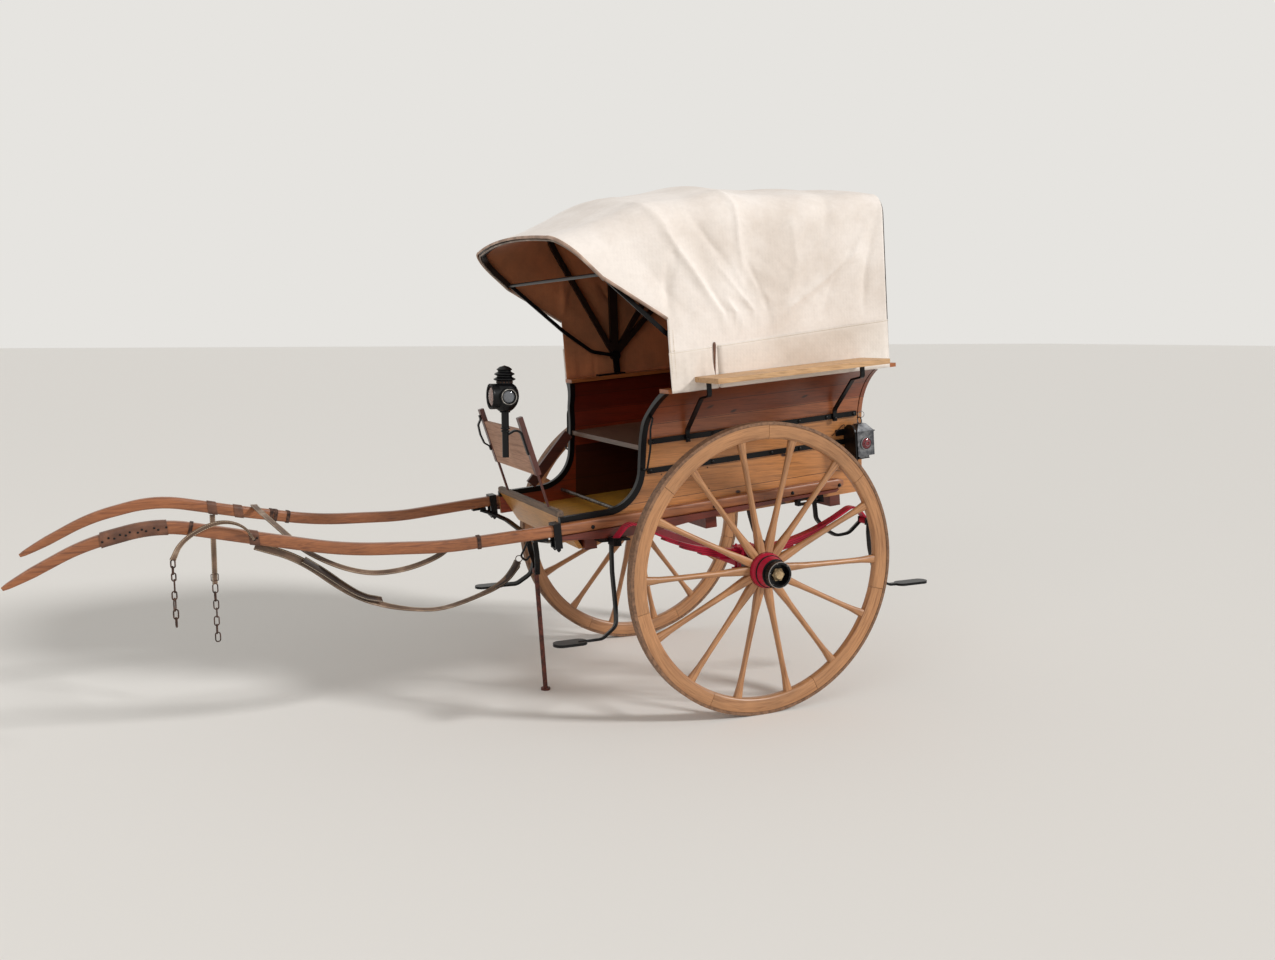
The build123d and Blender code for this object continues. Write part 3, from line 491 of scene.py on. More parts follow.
def boarded(name, boards, grain=(1, 0, 0)):
    """Varnished boards, each its own tone, dark joints between them, and a dark red inside, with painted
    shade under the bench.
    """
    made = wood(name, grey(1.0), grey(0.62), grain, line=0.005, rough=0.36, coat=0.4)
    tree, shader, figure, coords = opened(made)
    height = level_height(tree, coords)
    tones = add(tree, "ShaderNodeValToRGB", {"Fac": height}, boards)
    tones.color_ramp.interpolation = "CONSTANT"
    tinted = add(tree, "ShaderNodeMixRGB", {"Fac": 1.0, "Color1": tones, "Color2": figure},
                 blend_type="MULTIPLY")
    last = knots(tree, coords, tinted)
    for position, _ in boards[1:]:
        joint = add(tree, "ShaderNodeMath", {0: height, 1: position, 2: 0.0011},
                    operation="COMPARE")
        last = add(tree, "ShaderNodeMixRGB",
                   {"Fac": joint, "Color1": last, "Color2": linear("#1e100a")})
    # The inside is where the face looks towards the cart's middle
    facing = add(tree, "ShaderNodeSeparateXYZ",
                 {"Vector": tree.nodes["Texture Coordinate"].outputs["Normal"]})
    place = add(tree, "ShaderNodeSeparateXYZ", {"Vector": coords})
    away = add(tree, "ShaderNodeMath", {0: facing.outputs["Y"], 1: place.outputs["Y"]},
               operation="MULTIPLY")
    within = add(tree, "ShaderNodeMath", {0: away, 1: -0.02}, operation="LESS_THAN")
    # Painted shade: the inside is darkened below the bench's top and behind its front, where the bench's
    # shadow falls
    below = add(tree, "ShaderNodeMath", {0: height, 1: SEAT_TOP}, operation="LESS_THAN")
    behind = add(tree, "ShaderNodeMath", {0: place, 1: SEAT_FRONT}, operation="LESS_THAN")
    under_seat_shade = add(tree, "ShaderNodeMath", {0: below, 1: behind}, operation="MULTIPLY")
    shade = add(tree, "ShaderNodeMixRGB",
                {"Fac": under_seat_shade, "Color1": linear("#b8685c"), "Color2": linear("#54302c")})
    red = add(tree, "ShaderNodeMixRGB", {"Fac": 1.0, "Color1": last, "Color2": shade},
              blend_type="MULTIPLY")
    dress(tree, shader, add(tree, "ShaderNodeMixRGB",
                            {"Fac": within, "Color1": last, "Color2": red}))
    return made


def painted(name, colour, under, rough=0.35, chips=0.64):
    """Brushed coach paint over iron: a soft gloss, faint brush ripple and small chips."""
    made, tree, shader, coords = material(name, roughness=rough, coat_weight=0.04,
                                          coat_roughness=0.15, ior=1.5,
                                          specular_ior_level=0.22)
    tone, _ = mottled(tree, coords, 5.0, 2.0, ((0.3, darken(colour, 0.75)), (0.7, colour)))
    mask, spots = mottled(tree, coords, 38.0, 6.0, ((chips, grey(0.0)), (chips + 0.05, grey(1.0))),
                          Roughness=0.7)
    mixed = add(tree, "ShaderNodeMixRGB", {"Fac": mask, "Color1": tone, "Color2": under})
    dress(tree, shader, mixed, spots, 0.25)
    return made


def reach_from(tree, coords, centre):
    """How far each point lies from a line across the cart through a centre."""
    moved = add(tree, "ShaderNodeVectorMath", {0: coords, 1: tuple(-centre)}, operation="ADD")
    flat = add(tree, "ShaderNodeVectorMath", {0: moved, 1: (1, 0, 1)}, operation="MULTIPLY")
    return add(tree, "ShaderNodeVectorMath", {0: flat}, operation="LENGTH").outputs["Value"]


# Leaf spring: a leaf's thickness, the pack's underside above the axle, half its span, its rise
LEAF, PACK, HALF_SPAN, LEAF_RISE = 0.009, 0.068, 0.5, 0.128


def ringed(name, colour, under):
    """Painted spring steel: the edges of the stacked leaves show as dark lines."""
    made = painted(name, colour, under, rough=0.32)
    tree, shader, last, coords = opened(made)
    radius = (HALF_SPAN ** 2 + LEAF_RISE ** 2) / (2 * LEAF_RISE)
    far = reach_from(tree, coords, AXLE + Vector((0, 0, PACK + radius)))
    depth = add(tree, "ShaderNodeMath", {0: far, 1: radius}, operation="SUBTRACT")
    for i in range(1, 5):
        line = add(tree, "ShaderNodeMath", {0: depth, 1: LEAF * i, 2: 0.0008}, operation="COMPARE")
        last = add(tree, "ShaderNodeMixRGB",
                   {"Fac": line, "Color1": last, "Color2": linear("#1c0509")})
    dress(tree, shader, last)
    return made


# The hub's black nose, bright grey lip and black inner end, back from its nose, and the lip's inside
HUB_BLACK, HUB_LIP, HUB_INNER, LIP_RADIUS = 0.043, 0.0035, 0.185, 0.0548


def hub_paint(name, colour, black):
    """Painted elm and iron: a crimson barrel, a black nose with a bright grey lip round its end."""
    made = painted(name, colour, linear("#5a1a1c"), rough=0.3)
    tree, shader, last, coords = opened(made)
    across = add(tree, "ShaderNodeSeparateXYZ", {"Vector": coords}).outputs["Y"]
    out = add(tree, "ShaderNodeMath", {0: across}, operation="ABSOLUTE")
    nose = add(tree, "ShaderNodeMath", {0: out, 1: HUB_NOSE - HUB_BLACK}, operation="GREATER_THAN")
    end = add(tree, "ShaderNodeMath", {0: out, 1: HUB_NOSE - HUB_LIP}, operation="GREATER_THAN")
    inner = add(tree, "ShaderNodeMath", {0: out, 1: HUB_NOSE - HUB_INNER}, operation="LESS_THAN")
    both = add(tree, "ShaderNodeMath", {0: nose, 1: inner}, operation="MAXIMUM")
    outer = add(tree, "ShaderNodeMath", {0: reach_from(tree, coords, AXLE), 1: LIP_RADIUS},
                operation="GREATER_THAN")
    lip = add(tree, "ShaderNodeMath", {0: end, 1: outer}, operation="MULTIPLY")
    for share, shade in ((both, black), (lip, linear("#8d8a86"))):
        last = add(tree, "ShaderNodeMixRGB", {"Fac": share, "Color1": last, "Color2": shade})
    dress(tree, shader, last)
    return made


# The weave is drawn at this thread spacing, coarser than the real half millimetre, to show
THREAD = 0.0025


def cloth(name, colour, stain):
    """Woven cotton duck: a plain weave, weather stains and a faint nap that catches side light."""
    made, tree, shader, coords = material(name, roughness=0.9, sheen_weight=0.25,
                                          sheen_roughness=0.5, ior=1.45)
    threads = add(tree, "ShaderNodeUVMap", uv_map="UVMap")
    warp, weft = (add(tree, "ShaderNodeTexWave", {
        "Scale": 0.5 / THREAD / 10, "Distortion": 0.4, "Detail": 2.0, "Vector": threads},
        bands_direction=way).outputs["Fac"] for way in ("X", "Y"))
    weave = add(tree, "ShaderNodeMath", {0: warp, 1: weft}, operation="MAXIMUM")
    tone, _ = mottled(tree, coords, 2.6, 6.0, ((0.36, stain), (0.6, colour)), Roughness=0.6)
    speck, _ = mottled(tree, coords, 55.0, 4.0, ((0.25, grey(0.95)), (0.6, grey(1.0))))
    mixed = add(tree, "ShaderNodeMixRGB", {"Fac": 1.0, "Color1": tone, "Color2": speck},
                blend_type="MULTIPLY")
    soft = add(tree, "ShaderNodeTexNoise", {"Scale": 14.0, "Detail": 3.0, "Vector": coords})
    wrinkle = add(tree, "ShaderNodeBump", {"Strength": 0.35, "Distance": 0.006, "Height": soft})
    dress(tree, shader, mixed, weave, 0.3, 0.0006, wrinkle)
    return made


def hide(name, colour, pale, rough=0.55):
    """Dry bridle leather: fine grain, cracks that show paler, rubbed edges."""
    made, tree, shader, coords = material(name, roughness=rough, ior=1.5)
    cells = add(tree, "ShaderNodeTexVoronoi", {"Scale": 260.0, "Vector": coords})
    tone, _ = mottled(tree, coords, 16.0, 5.0,
                      ((0.35, darken(colour, 0.6)), (0.55, colour), (0.75, pale)))
    dress(tree, shader, tone, cells, 0.4, 0.0006)
    return made


def metal(name, colour, dark, rough=0.4, metallic=1.0, scale=60.0, low=0.4, high=0.62):
    """Bare metal: tarnish and rust in soft spots over the base colour."""
    made, tree, shader, coords = material(name, roughness=rough, metallic=metallic)
    tone, spots = mottled(tree, coords, scale, 6.0, ((low, dark), (high, colour)), Roughness=0.65)
    dress(tree, shader, tone, spots)
    return made


def lens(name, colour, rough=0.06, alpha=0.55):
    """Pressed glass: tinted, smooth, with dust that softens it."""
    made, tree, shader, coords = material(name, roughness=rough, ior=1.5, alpha=alpha,
                                          coat_weight=0.5)
    dress(tree, shader, mottled(tree, coords, 45.0, 4.0,
                                ((0.4, darken(colour, 0.75)), (0.7, colour)))[0])
    return made


FINISHES = {}
TREES = {}
PARTS = {}
ACROSS = {"grain": (0, 1, 0)}
WEATHERED = {"rough": 0.7, "coat": 0.0}
# Each finish: its maker, its name, its colours by hex or by setting, and what is special to it
FINISH_TABLE = {
    # Deal under thick ochre varnish: warm yellow, the brightest wood inside
    "floor": (wood, "Ochre varnished deal", "#e2a53e", "#b2782c", {}),
    # Pine under honey varnish, its grain across the cart
    "front": (wood, "Front board varnish", "#c98f45", "#a86a30", ACROSS),
    # Bare wood gone grey-brown: no gloss left
    "moulding": (wood, "Weathered moulding", "#75604f", "#43362d", {**ACROSS, **WEATHERED}),
    # Painted boards: deep red-brown, nearly black in the shade
    "inside": (wood, "Dark red inside boards", "#56261a", "#32140f", {}),
    # Worn bench planks: dull brown
    "seat": (wood, "Bare bench boards", "#6a5140", "#42281c", ACROSS),
    # Varnished ash: reddish, polished by hands
    "rail": (wood, "Varnished rail", "#a9622f", "#7a3f20", {}),
    # Sun-bleached pine: pale and nearly matt
    "wing": (wood, "Bleached pine wing boards", "#cfa577", "#9a7048", {"rough": 0.55, "coat": 0.1}),
    # Painted timber: dull dark red
    "sill": (wood, "Dark red sills", "#6d2b1b", "#45170f", {}),
    # Faded paint: dusty pink-brown, no gloss
    "dash": (wood, "Faded dash boards", "#b58c74", "#8f6750", {**ACROSS, **WEATHERED}),
    # Painted ash, its grain upright
    "upright": (wood, "Dash uprights", "#59291e", "#341610", {"grain": (0, 0, 1)}),
    # Varnished ash: warm brown with long lines
    "shaft": (wood, "Varnished ash shafts", "shaft", "#6d3c22", {}),
    # Oiled ash and elm: golden, their grain along each spoke and round the rim
    "spoke": (wood, "Ash spokes", "ash", "#8d5c37",
              {"grain": (0, 0, 1), "line": 0.003, "rough": 0.4, "attribute": "grain"}),
    "felloe": (wood, "Elm felloes", "ash", "#93623b", {"rough": 0.4, "attribute": "grain"}),
    # Brushed paint: brown-black where it rubs on the cloth, deep black on the irons
    "bow": (painted, "Black painted bows", "#241a16", "#4a3326", {}),
    "black": (painted, "Black coach paint", "black", "#4b4139", {"chips": 0.68}),
    # Brushed crimson over iron: a clear red with dark chips
    "crimson": (painted, "Crimson coach paint", "crimson", "#4c171a", {}),
    "spring": (ringed, "Crimson leaf springs", "crimson", "#4c171a", {}),
    "hub": (hub_paint, "Painted elm and iron hub", "crimson", "black", {}),
    # Undyed duck: cream with grey-brown weather stains; its band is a shade darker
    "canvas": (cloth, "Cotton duck canvas", "canvas", "#dfd3c8", {}),
    "band": (cloth, "Hem band canvas", "#e9dfd5", "#d5c8bb", {}),
    # Dyed cotton: warm brown behind the cream, without gloss
    "lining": (cloth, "Brown hood lining", "lining", "#94603f", {}),
    # Sun-dried leather: pinkish and grey, without gloss
    "binding": (hide, "Faded leather binding", "#b79a88", "#cdb8a6", {"rough": 0.7}),
    "piping": (hide, "Grey edge piping", "#93857a", "#b3a598", {"rough": 0.7}),
    # Harness leather: dry brown, oiled nearly black, and stained by the shaft's varnish
    "leather": (hide, "Dry strap leather", "leather", "#9b8471", {}),
    "dark leather": (hide, "Oiled dark leather", "#33241c", "#57402f", {"rough": 0.4}),
    "sleeve": (hide, "Stained shaft leather", "#66412e", "#85583e", {}),
    # Waxed linen: pale dots on the leather
    "thread": (cloth, "Linen thread", "#d8c7ab", "#b9a588", {}),
    # Turned brass gone dull: straw yellow with brown spots
    "brass": (metal, "Tarnished brass cap", "#ccb48c", "#94795a",
              {"rough": 0.42, "metallic": 0.7, "scale": 26.0}),
    # Forged steel rubbed bare: grey with dark pits
    "steel": (metal, "Bare worn steel", "#8c8985", "#4b443f", {"rough": 0.42}),
    # Rusted and red-leaded iron: matt brown, hardly a reflection
    "rust": (metal, "Rusted iron", "#5d4033", "#2c1d17", {"rough": 0.75, "metallic": 0.35}),
    "prop": (metal, "Red oxide prop", "#6b3427", "#3a1c16", {"rough": 0.6, "metallic": 0.2}),
    "tyre": (metal, "Rusted iron tyre", "#8d6a50", "#5d4434",
             {"rough": 0.6, "metallic": 0.3, "low": 0.3, "high": 0.6}),
    # Galvanised sheet: cool grey spangle
    "zinc": (metal, "Galvanised sheet", "#8a8b8d", "#4c4d51",
             {"rough": 0.42, "metallic": 0.85, "scale": 24.0}),
    # Pressed and silvered glass: grey at the side, pinkish in front, deep red behind
    "side glass": (lens, "Silvered side glass", "#73767b", {"rough": 0.08, "alpha": 0.9}),
    "front glass": (lens, "Pinkish front glass", "#c9a79c", {}),
    "red glass": (lens, "Red bullseye glass", "#8a2530", {"rough": 0.1, "alpha": 0.85}),
    # Nickel plate: a bright ring
    "chrome": (metal, "Nickel bezel", "#c9c6c0", "#7d7872", {"rough": 0.2}),
}
# Where each board of the sides starts above the axle, its colour and that colour's strength
BOARDS = ((0.0, "pine", 1.0), (0.330, "pine", 0.92), (0.465, "pine", 0.84),
          (0.592, "#a9623a", 1.0), (0.668, "mahogany", 1.0), (0.742, "mahogany", 0.82))
# Small parts about Z, one unit across: (radius, height) profiles and how many sides they have
PART_PROFILES = {
    "head": ((((0.5, 0.0), (0.5, 0.12), (0.42, 0.26), (0.22, 0.36), (0.03, 0.4)), 12),),
    "nut": ((((0.5, 0.0), (0.5, 0.36), (0.44, 0.42)), 6),
            (((0.26, 0.3), (0.26, 0.62), (0.2, 0.68)), 10)),
}
STITCH_HALF, STITCH_STRAIGHT, THREAD_RADIUS = 0.0028, 0.0014, 0.0008


class CART_OT_finishes(bpy.types.Operator):
    """Make the finishes, the node trees and the small parts they repeat"""
    bl_idname = "cart.finishes"
    bl_label = "Finishes"

    def execute(self, context):
        def shade(value):
            """A colour from its hex value or from its setting's name."""
            if value.startswith("#"):
                return linear(value)
            return tuple(getattr(context.scene.cart_colours, value))

        tones = [(low, darken(shade(colour), share)) for low, colour, share in BOARDS]
        FINISHES["boards"] = boarded("Varnished pine boards", tones)
        FINISHES["gate"] = boarded("Varnished tailgate boards", tones, (0, 1, 0))
        for key, (maker, name, *colours, special) in FINISH_TABLE.items():
            FINISHES[key] = maker(name, *[shade(c) for c in colours], **special)
        TREES.update({"repeat": repeat_tree(), "wheel": wheel_tree(), "stitch": stitch_tree()})
        row_sets = {name: [turned(profile, Vector(), (0, 0, 1), count)
                           for profile, count in profiles]
                    for name, profiles in PART_PROFILES.items()}
        heights = (-STITCH_HALF, -STITCH_STRAIGHT, STITCH_STRAIGHT, STITCH_HALF)
        row_sets["stitch"] = [swept([Vector((0, 0, z)) for z in heights],
                                    disc(THREAD_RADIUS, 6), (1, 0, 0))]
        for name, rows in row_sets.items():
            PARTS[name] = solid(name, rows, [], 35)
            context.scene.collection.objects.unlink(PARTS[name])
        return {"FINISHED"}


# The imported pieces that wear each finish
WEARS = {
    "boards": "side_panel_left side_panel_right",
    "gate": "tailgate",
    "inside": "rear_ribs side_brace",
    "floor": "floor",
    "front": "front_board",
    "moulding": "front_moulding",
    "seat": "seat rear_seat",
    "rail": "top_rails",
    "wing": "wing_boards",
    "sill": "sills cross_bars",
    "dash": "dash_board",
    "upright": "dash_uprights",
    "shaft": "shaft_left shaft_right",
    "bow": "hood_bows hood_hoop",
    "black": ("side_bands wing_stays spring_hanger rear_iron front_steps rear_steps "
              "prop_bracket shaft_clamps gate_irons gate_hinges lamp lamp_brackets "
              "lantern_bracket hood_irons side_straps grab_handles"),
    "crimson": "axle axle_clip",
    "spring": "spring_left spring_right",
    "hub": "hub_left hub_right",
    "brass": "hub_cap_left hub_cap_right",
    "steel": "footrest_bar",
    "prop": "prop_leg",
    "tyre": "tyre_left tyre_right",
    "zinc": "tail_lantern",
    "front glass": "lamp_glasses",
    "red glass": "tail_glass",
    "sleeve": "shaft_sleeves",
    "rust": "chains",
    "leather": "harness_straps",
    "canvas": "hood_canvas",
    "spoke": "spokes_left spokes_right",
    "felloe": "felloes_left felloes_right",
}


class CART_OT_frame_finishes(bpy.types.Operator):
    """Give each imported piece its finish"""
    bl_idname = "cart.frame_finishes"
    bl_label = "Frame finishes"

    def execute(self, context):
        for finish, nodes in WEARS.items():
            for node in nodes.split():
                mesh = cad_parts[node].data
                mesh.materials.clear()
                mesh.materials.append(FINISHES[finish])
        return {"FINISHED"}


# Hood: a row of hoops from the rear to the front rim; heights above the axle, body level
HOOD_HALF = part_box("hood_canvas")[1].y
HEM_Z = 0.812
SEAM_Z = (1.027, 0.980)
ELBOW_Z = 1.120
HOOD_REAR = -0.765
HOOD_FRONT = 0.346
HOOD_ROOF = ((HOOD_REAR, 1.655), (0.0, 1.704), (HOOD_FRONT, 1.676))
# Shoulder radii at the front and at the rear, which tightens over this length
CORNER = 0.150
REAR_CORNER = 0.085
CORNER_EASE = 0.34
# The rear curtain's hem: between the top rails it reaches the tailgate, and it rests on the rails
CURTAIN_FOOT = (0.807, 0.8245)
RAIL_INSIDE = 0.53
# How far the crown rises over the shoulders, on the body and at the rim
CROWN_RISE = 0.062
RIM_RISE = 0.034
# The rim's foot forward and up, its pitch and its height along that pitch
RIM_AT = (0.620, 1.307)
RIM_PITCH = math.radians(46.0)
RIM_HEIGHT = 0.284
# The bows fan out from this pivot at these angles, and the cloth lies proud of them
PIVOT = (0.070, 0.920)
PROUD = 0.0025
BOW_ANGLES = tuple(math.radians(a) for a in (-47.0, -36.0, -3.0, 27.0, 53.2))
# Faces along each hoop: hem, side, corner, half roof; and rows along, to the rim and up the curtain
HOOP_FACES = (8, 38, 10, 26)
BODY_ROWS, FRONT_ROWS, CURTAIN_ROWS = 130, 44, 30
# The front cloth's bulge, and the span over which it fades towards the sides
BULGE, BULGE_HALF = 0.016, 0.62
# The hem band's two pieces a side, with the flap's slit between them
BAND_SPANS = ((HOOD_REAR - 0.001, 0.118), (0.150, HOOD_FRONT + 0.004))
BAND_PROUD = 0.0012
SEAM_PROUD = 0.0038
# A dark strip down the near hem's slit, painted shade of the gap behind it: its points in x and z with
# the body level
HEM_SLIT_SHADE = ((0.133, 1.004), (0.135, 0.965), (0.138, 0.92), (0.140, 0.86))


def corner_radius(x):
    """The hood's shoulder radius: it tightens towards the square rear hoop."""
    return REAR_CORNER + (CORNER - REAR_CORNER) * smooth(clamp((x - HOOD_REAR) / CORNER_EASE))


def hoop(low, elbow, crown, rise, counts, bend=CORNER):
    """(y, z) points up the left side, over the roof and down the right side."""
    hem, side, corner, roof = counts
    shoulder = crown - rise
    reach = HOOD_HALF - bend
    foot = shoulder - bend
    half = [(HOOD_HALF, low + (elbow - low) * i / hem) for i in range(hem)]
    half += [(HOOD_HALF, elbow + (foot - elbow) * i / side) for i in range(side)]
    half += [(reach + bend * math.cos(a), foot + bend * math.sin(a))
             for a in (math.pi / 2 * i / corner for i in range(corner))]
    radius = (reach ** 2 + rise ** 2) / (2 * rise)
    for i in range(roof):
        y = reach * (1 - i / roof)
        half.append((y, crown - radius + math.sqrt(radius ** 2 - y ** 2)))
    return [*half, (0.0, crown), *[(-y, z) for y, z in reversed(half)]]


def roof_height(x):
    """The hood's crown at a distance forward of the axle."""
    for (x0, z0), (x1, z1) in zip(HOOD_ROOF, HOOD_ROOF[1:]):
        if x <= x1:
            return z0 + (z1 - z0) * (x - x0) / (x1 - x0)
    return HOOD_ROOF[-1][1]


# Each fold: side, points in x and z with the body level, height and half width in metres
FOLDS = (
    (1, ((0.42, 1.64), (0.35, 1.53), (0.29, 1.42), (0.22, 1.32), (0.14, 1.20), (0.06, 1.09)), 8, 26),
    (1, ((0.02, 1.65), (-0.016, 1.57), (-0.013, 1.44), (-0.03, 1.30)), 6, 20),
    (1, ((0.29, 1.40), (0.33, 1.27), (0.335, 1.15)), -9, 22),
    (1, ((0.06, 1.18), (-0.03, 1.04)), 5, 12),
    (1, ((0.16, 1.27), (0.04, 1.08)), -5, 16),
    (1, ((0.10, 1.33), (-0.06, 1.13), (-0.11, 1.06)), 4, 12),
    (1, ((-0.05, 1.34), (-0.12, 1.18), (-0.15, 1.08)), -4, 14),
    (1, ((-0.75, 1.56), (-0.60, 1.33), (-0.375, 1.19), (-0.16, 1.07)), 7, 26),
    (1, ((-0.75, 1.54), (-0.66, 1.22), (-0.64, 1.08)), -6, 24),
    (1, ((-0.74, 1.52), (-0.50, 1.24), (-0.42, 1.08)), -4, 18),
    (1, ((-0.28, 1.52), (-0.30, 1.32), (-0.24, 1.16)), 3, 30),
    (1, ((-0.50, 1.60), (-0.44, 1.38), (-0.30, 1.20)), -3, 22),
    (1, ((0.20, 1.55), (0.12, 1.42), (0.02, 1.30)), -4, 20),
    (-1, ((0.42, 1.62), (0.33, 1.46), (0.20, 1.26), (0.08, 1.08)), 7, 28),
    (-1, ((0.02, 1.65), (-0.02, 1.46), (-0.05, 1.22)), 5, 22),
    (-1, ((0.30, 1.38), (0.335, 1.16)), -8, 22),
    (-1, ((0.12, 1.30), (-0.02, 1.06)), 5, 14),
    (-1, ((-0.75, 1.55), (-0.56, 1.30), (-0.25, 1.10)), 7, 26),
    (-1, ((-0.74, 1.50), (-0.62, 1.16)), -6, 22),
    (-1, ((-0.30, 1.50), (-0.36, 1.16)), -4, 26),
)


def fold_height(x, z, side):
    """How far the folds lift the canvas at a point on one side."""
    lift = 0.0
    here = Vector((x, z))
    for at, line, height, width in FOLDS:
        if at != side:
            continue
        best, along = 1.0, 0.0
        for i, (a, b) in enumerate(zip(line, line[1:])):
            a, b = Vector(a), Vector(b)
            share = clamp((here - a).dot(b - a) / (b - a).length_squared)
            gap = (here - a.lerp(b, share)).length
            if gap < best:
                best, along = gap, (i + share) / (len(line) - 1)
        # A fold is lowest at its two ends
        ease = math.sin(math.pi * (0.12 + 0.76 * along))
        near = best / (width * 0.001)
        lift += height * 0.001 * ease * (1.1 * math.exp(-near ** 2) + 1.1 * math.exp(-2.2 * near))
    return lift


def drape(x, y, z, sag):
    """How far the canvas stands out at a point of the hood, body level."""
    ahead, up = x - PIVOT[0], z - PIVOT[1]
    off_bow = min(abs(math.atan2(ahead, up) - a) for a in BOW_ANGLES) * math.hypot(ahead, up)
    slack = smooth(clamp(off_bow / 0.15))
    # Folds and creases fade out over the roof, and all of it above the tacked hem
    steep = clamp((abs(y) - 0.30) / 0.25)
    calm = clamp((z - 0.99) / 0.09)
    side = 1 if y > 0 else -1
    broad = noise.noise(Vector((x * 4.5, y * 3.5, z * 3.0 + side))) * 0.005
    # Creases run slanting and are strongest where the cloth is pulled over the second bow
    along, across = x * 0.75 + z * 0.66, z * 0.75 - x * 0.66
    creased = 1 - abs(noise.noise(Vector((along * 5.0, across * 17.0, 3.0 + side)))) * 2
    pull = math.exp(-((x + 0.08) / 0.30) ** 2 - ((z - 1.20) / 0.17) ** 2)
    fine = creased * 0.0042 * pull + noise.noise(Vector((x * 22.0, y * 9.0, z * 15.0))) * 0.0009
    lift = PROUD - sag * slack + broad * slack + fine * steep + fold_height(x, z, side) * steep
    lift *= clamp((x - HOOD_REAR) / 0.10)
    return max(lift, -0.0006 - 0.03 * slack) * calm + hem_wave(x, z)


def hem_wave(x, z):
    """How far the loose hem swings outward; it hangs freest at the front flap."""
    loose = clamp((1.01 - z) / 0.18)
    flap = 1.0 if x < 0.12 else 2.2
    wave = max(0.0, math.sin(x * 33.0 + z * 7.0)) ** 2 + 0.6 * max(0.0, math.sin(x * 71.0 + 1.0)) ** 2
    return 0.0026 * loose * wave * flap


def settle(p, sag):
    """A point of the hood's edge after draping."""
    out = Vector((0, 1 if p[1] > 0 else -1, 0))
    return Vector(p) + out * drape(*p, sag) * (1 if abs(p[1]) > 0.6 else 0)


def seam_height(x):
    """The height of the hem band's upper seam."""
    return SEAM_Z[0] + (SEAM_Z[1] - SEAM_Z[0]) * (x - HOOD_REAR) / (HOOD_FRONT - HOOD_REAR)


def front_rows(root, rim):
    """The canvas between the front bow and the rim, which bulges a little."""
    rows = []
    for share in span(0.0, 1.0, FRONT_ROWS):
        row = []
        for a, b in zip(root, rim):
            p = Vector(a).lerp(Vector(b), share)
            bulge = BULGE * math.sin(math.pi * share) * max(0.0, 1 - abs(p.y) / BULGE_HALF)
            row.append((p.x - bulge * 0.35, p.y, p.z + bulge))
        rows.append(row)
    return rows


def curtain_columns(rear):
    """The rear curtain, hung from the rear hoop's roof and drawn in a little between its edges."""
    columns = []
    elbow = rear[sum(HOOP_FACES[:2])][2] - 0.0001
    for x, y, top in (p for p in rear if p[2] >= elbow):
        column = []
        foot = CURTAIN_FOOT[0 if abs(y) < RAIL_INSIDE else 1]
        for share, z in zip(span(0.0, 1.0, CURTAIN_ROWS), span(foot, top, CURTAIN_ROWS)):
            ease = math.sin(math.pi * share) * (1 - (y / HOOD_HALF) ** 2)
            wave = 0.5 + 0.5 * noise.noise(Vector((y * 6.0, z * 2.2, 9.0)))
            column.append((x + 0.001 - 0.012 * ease * wave, y, z))
        columns.append(column)
    return columns


def drape_canvas(mesh, sag):
    """Joins the canvas's sheets, moves them to their drape, unwraps them and tips them with the body."""
    work = bmesh.new()
    work.from_mesh(mesh)
    bmesh.ops.remove_doubles(work, verts=work.verts, dist=0.0012)
    bmesh.ops.recalc_face_normals(work, faces=work.faces)
    middle = Vector((0, 0, 1.2))
    if sum(1 if f.normal.dot(f.calc_center_median() - middle) > 0 else -1 for f in work.faces) < 0:
        bmesh.ops.reverse_faces(work, faces=work.faces)
    work.normal_update()
    moves = [Vector() if v.co.x < HOOD_REAR + 0.012 else v.normal * drape(*v.co, sag)
             for v in work.verts]
    uv = work.loops.layers.uv.new("UVMap")
    for face in work.faces:
        steep, rearward = abs(face.normal.z) < 0.6, abs(face.normal.x) > 0.8
        for loop in face.loops:
            p = loop.vert.co
            loop[uv].uv = (p.x + (p.y if rearward else 0), p.z if steep else p.y)
    for v, move in zip(work.verts, moves):
        v.co = level(*(v.co + move))
    work.to_mesh(mesh)
    work.free()
    mesh.shade_smooth()
    mesh.set_sharp_from_angle(angle=math.radians(60))


def thicken(made, **settings):
    """Gives a sheet its wall, as a plain mesh."""
    wall = made.modifiers.new("Cloth", "SOLIDIFY")
    for name, value in settings.items():
        setattr(wall, name, value)
    graph = bpy.context.evaluated_depsgraph_get()
    thick = bpy.data.meshes.new_from_object(made.evaluated_get(graph))
    made.modifiers.remove(wall)
    made.data = thick


def hem_band():
    """The doubled band along both hems, in two pieces a side."""
    row_sets = []
    for side, _ in SIDES:
        for x0, x1 in BAND_SPANS:
            rows = []
            for share in span(0.0, 1.0, 12):
                row = []
                for x in span(x0, x1, 32):
                    top = seam_height(x)
                    # The flap's rear edge hangs slanting on the near side
                    if side > 0 and x > 0.149:
                        x -= 0.024 * share ** 2 * max(0.0, 1 - (x - 0.15) / 0.1)
                    z = top - (top - HEM_Z + 0.004) * share
                    curl = 0.0015 * share * math.sin(x * 23 + side) + 0.0022 * share ** 4
                    y = HOOD_HALF + BAND_PROUD + max(0.0, curl) + hem_wave(x, z)
                    row.append(level(x, side * y, z))
                rows.append(row)
            row_sets.append(rows)
    band = solid("hood_hem_band", row_sets, ["band"], 80, around=False)
    mesh = band.data
    layer = mesh.uv_layers.new(name="UVMap")
    for loop in mesh.loops:
        p = mesh.vertices[loop.vertex_index].co
        layer.data[loop.index].uv = (p.x, p.z)
    for polygon in mesh.polygons:
        if polygon.normal.y * polygon.center.y < 0:
            polygon.flip()
    thicken(band, thickness=0.002, offset=1.0)
    return fit(band, BODY, "canvas_cream")


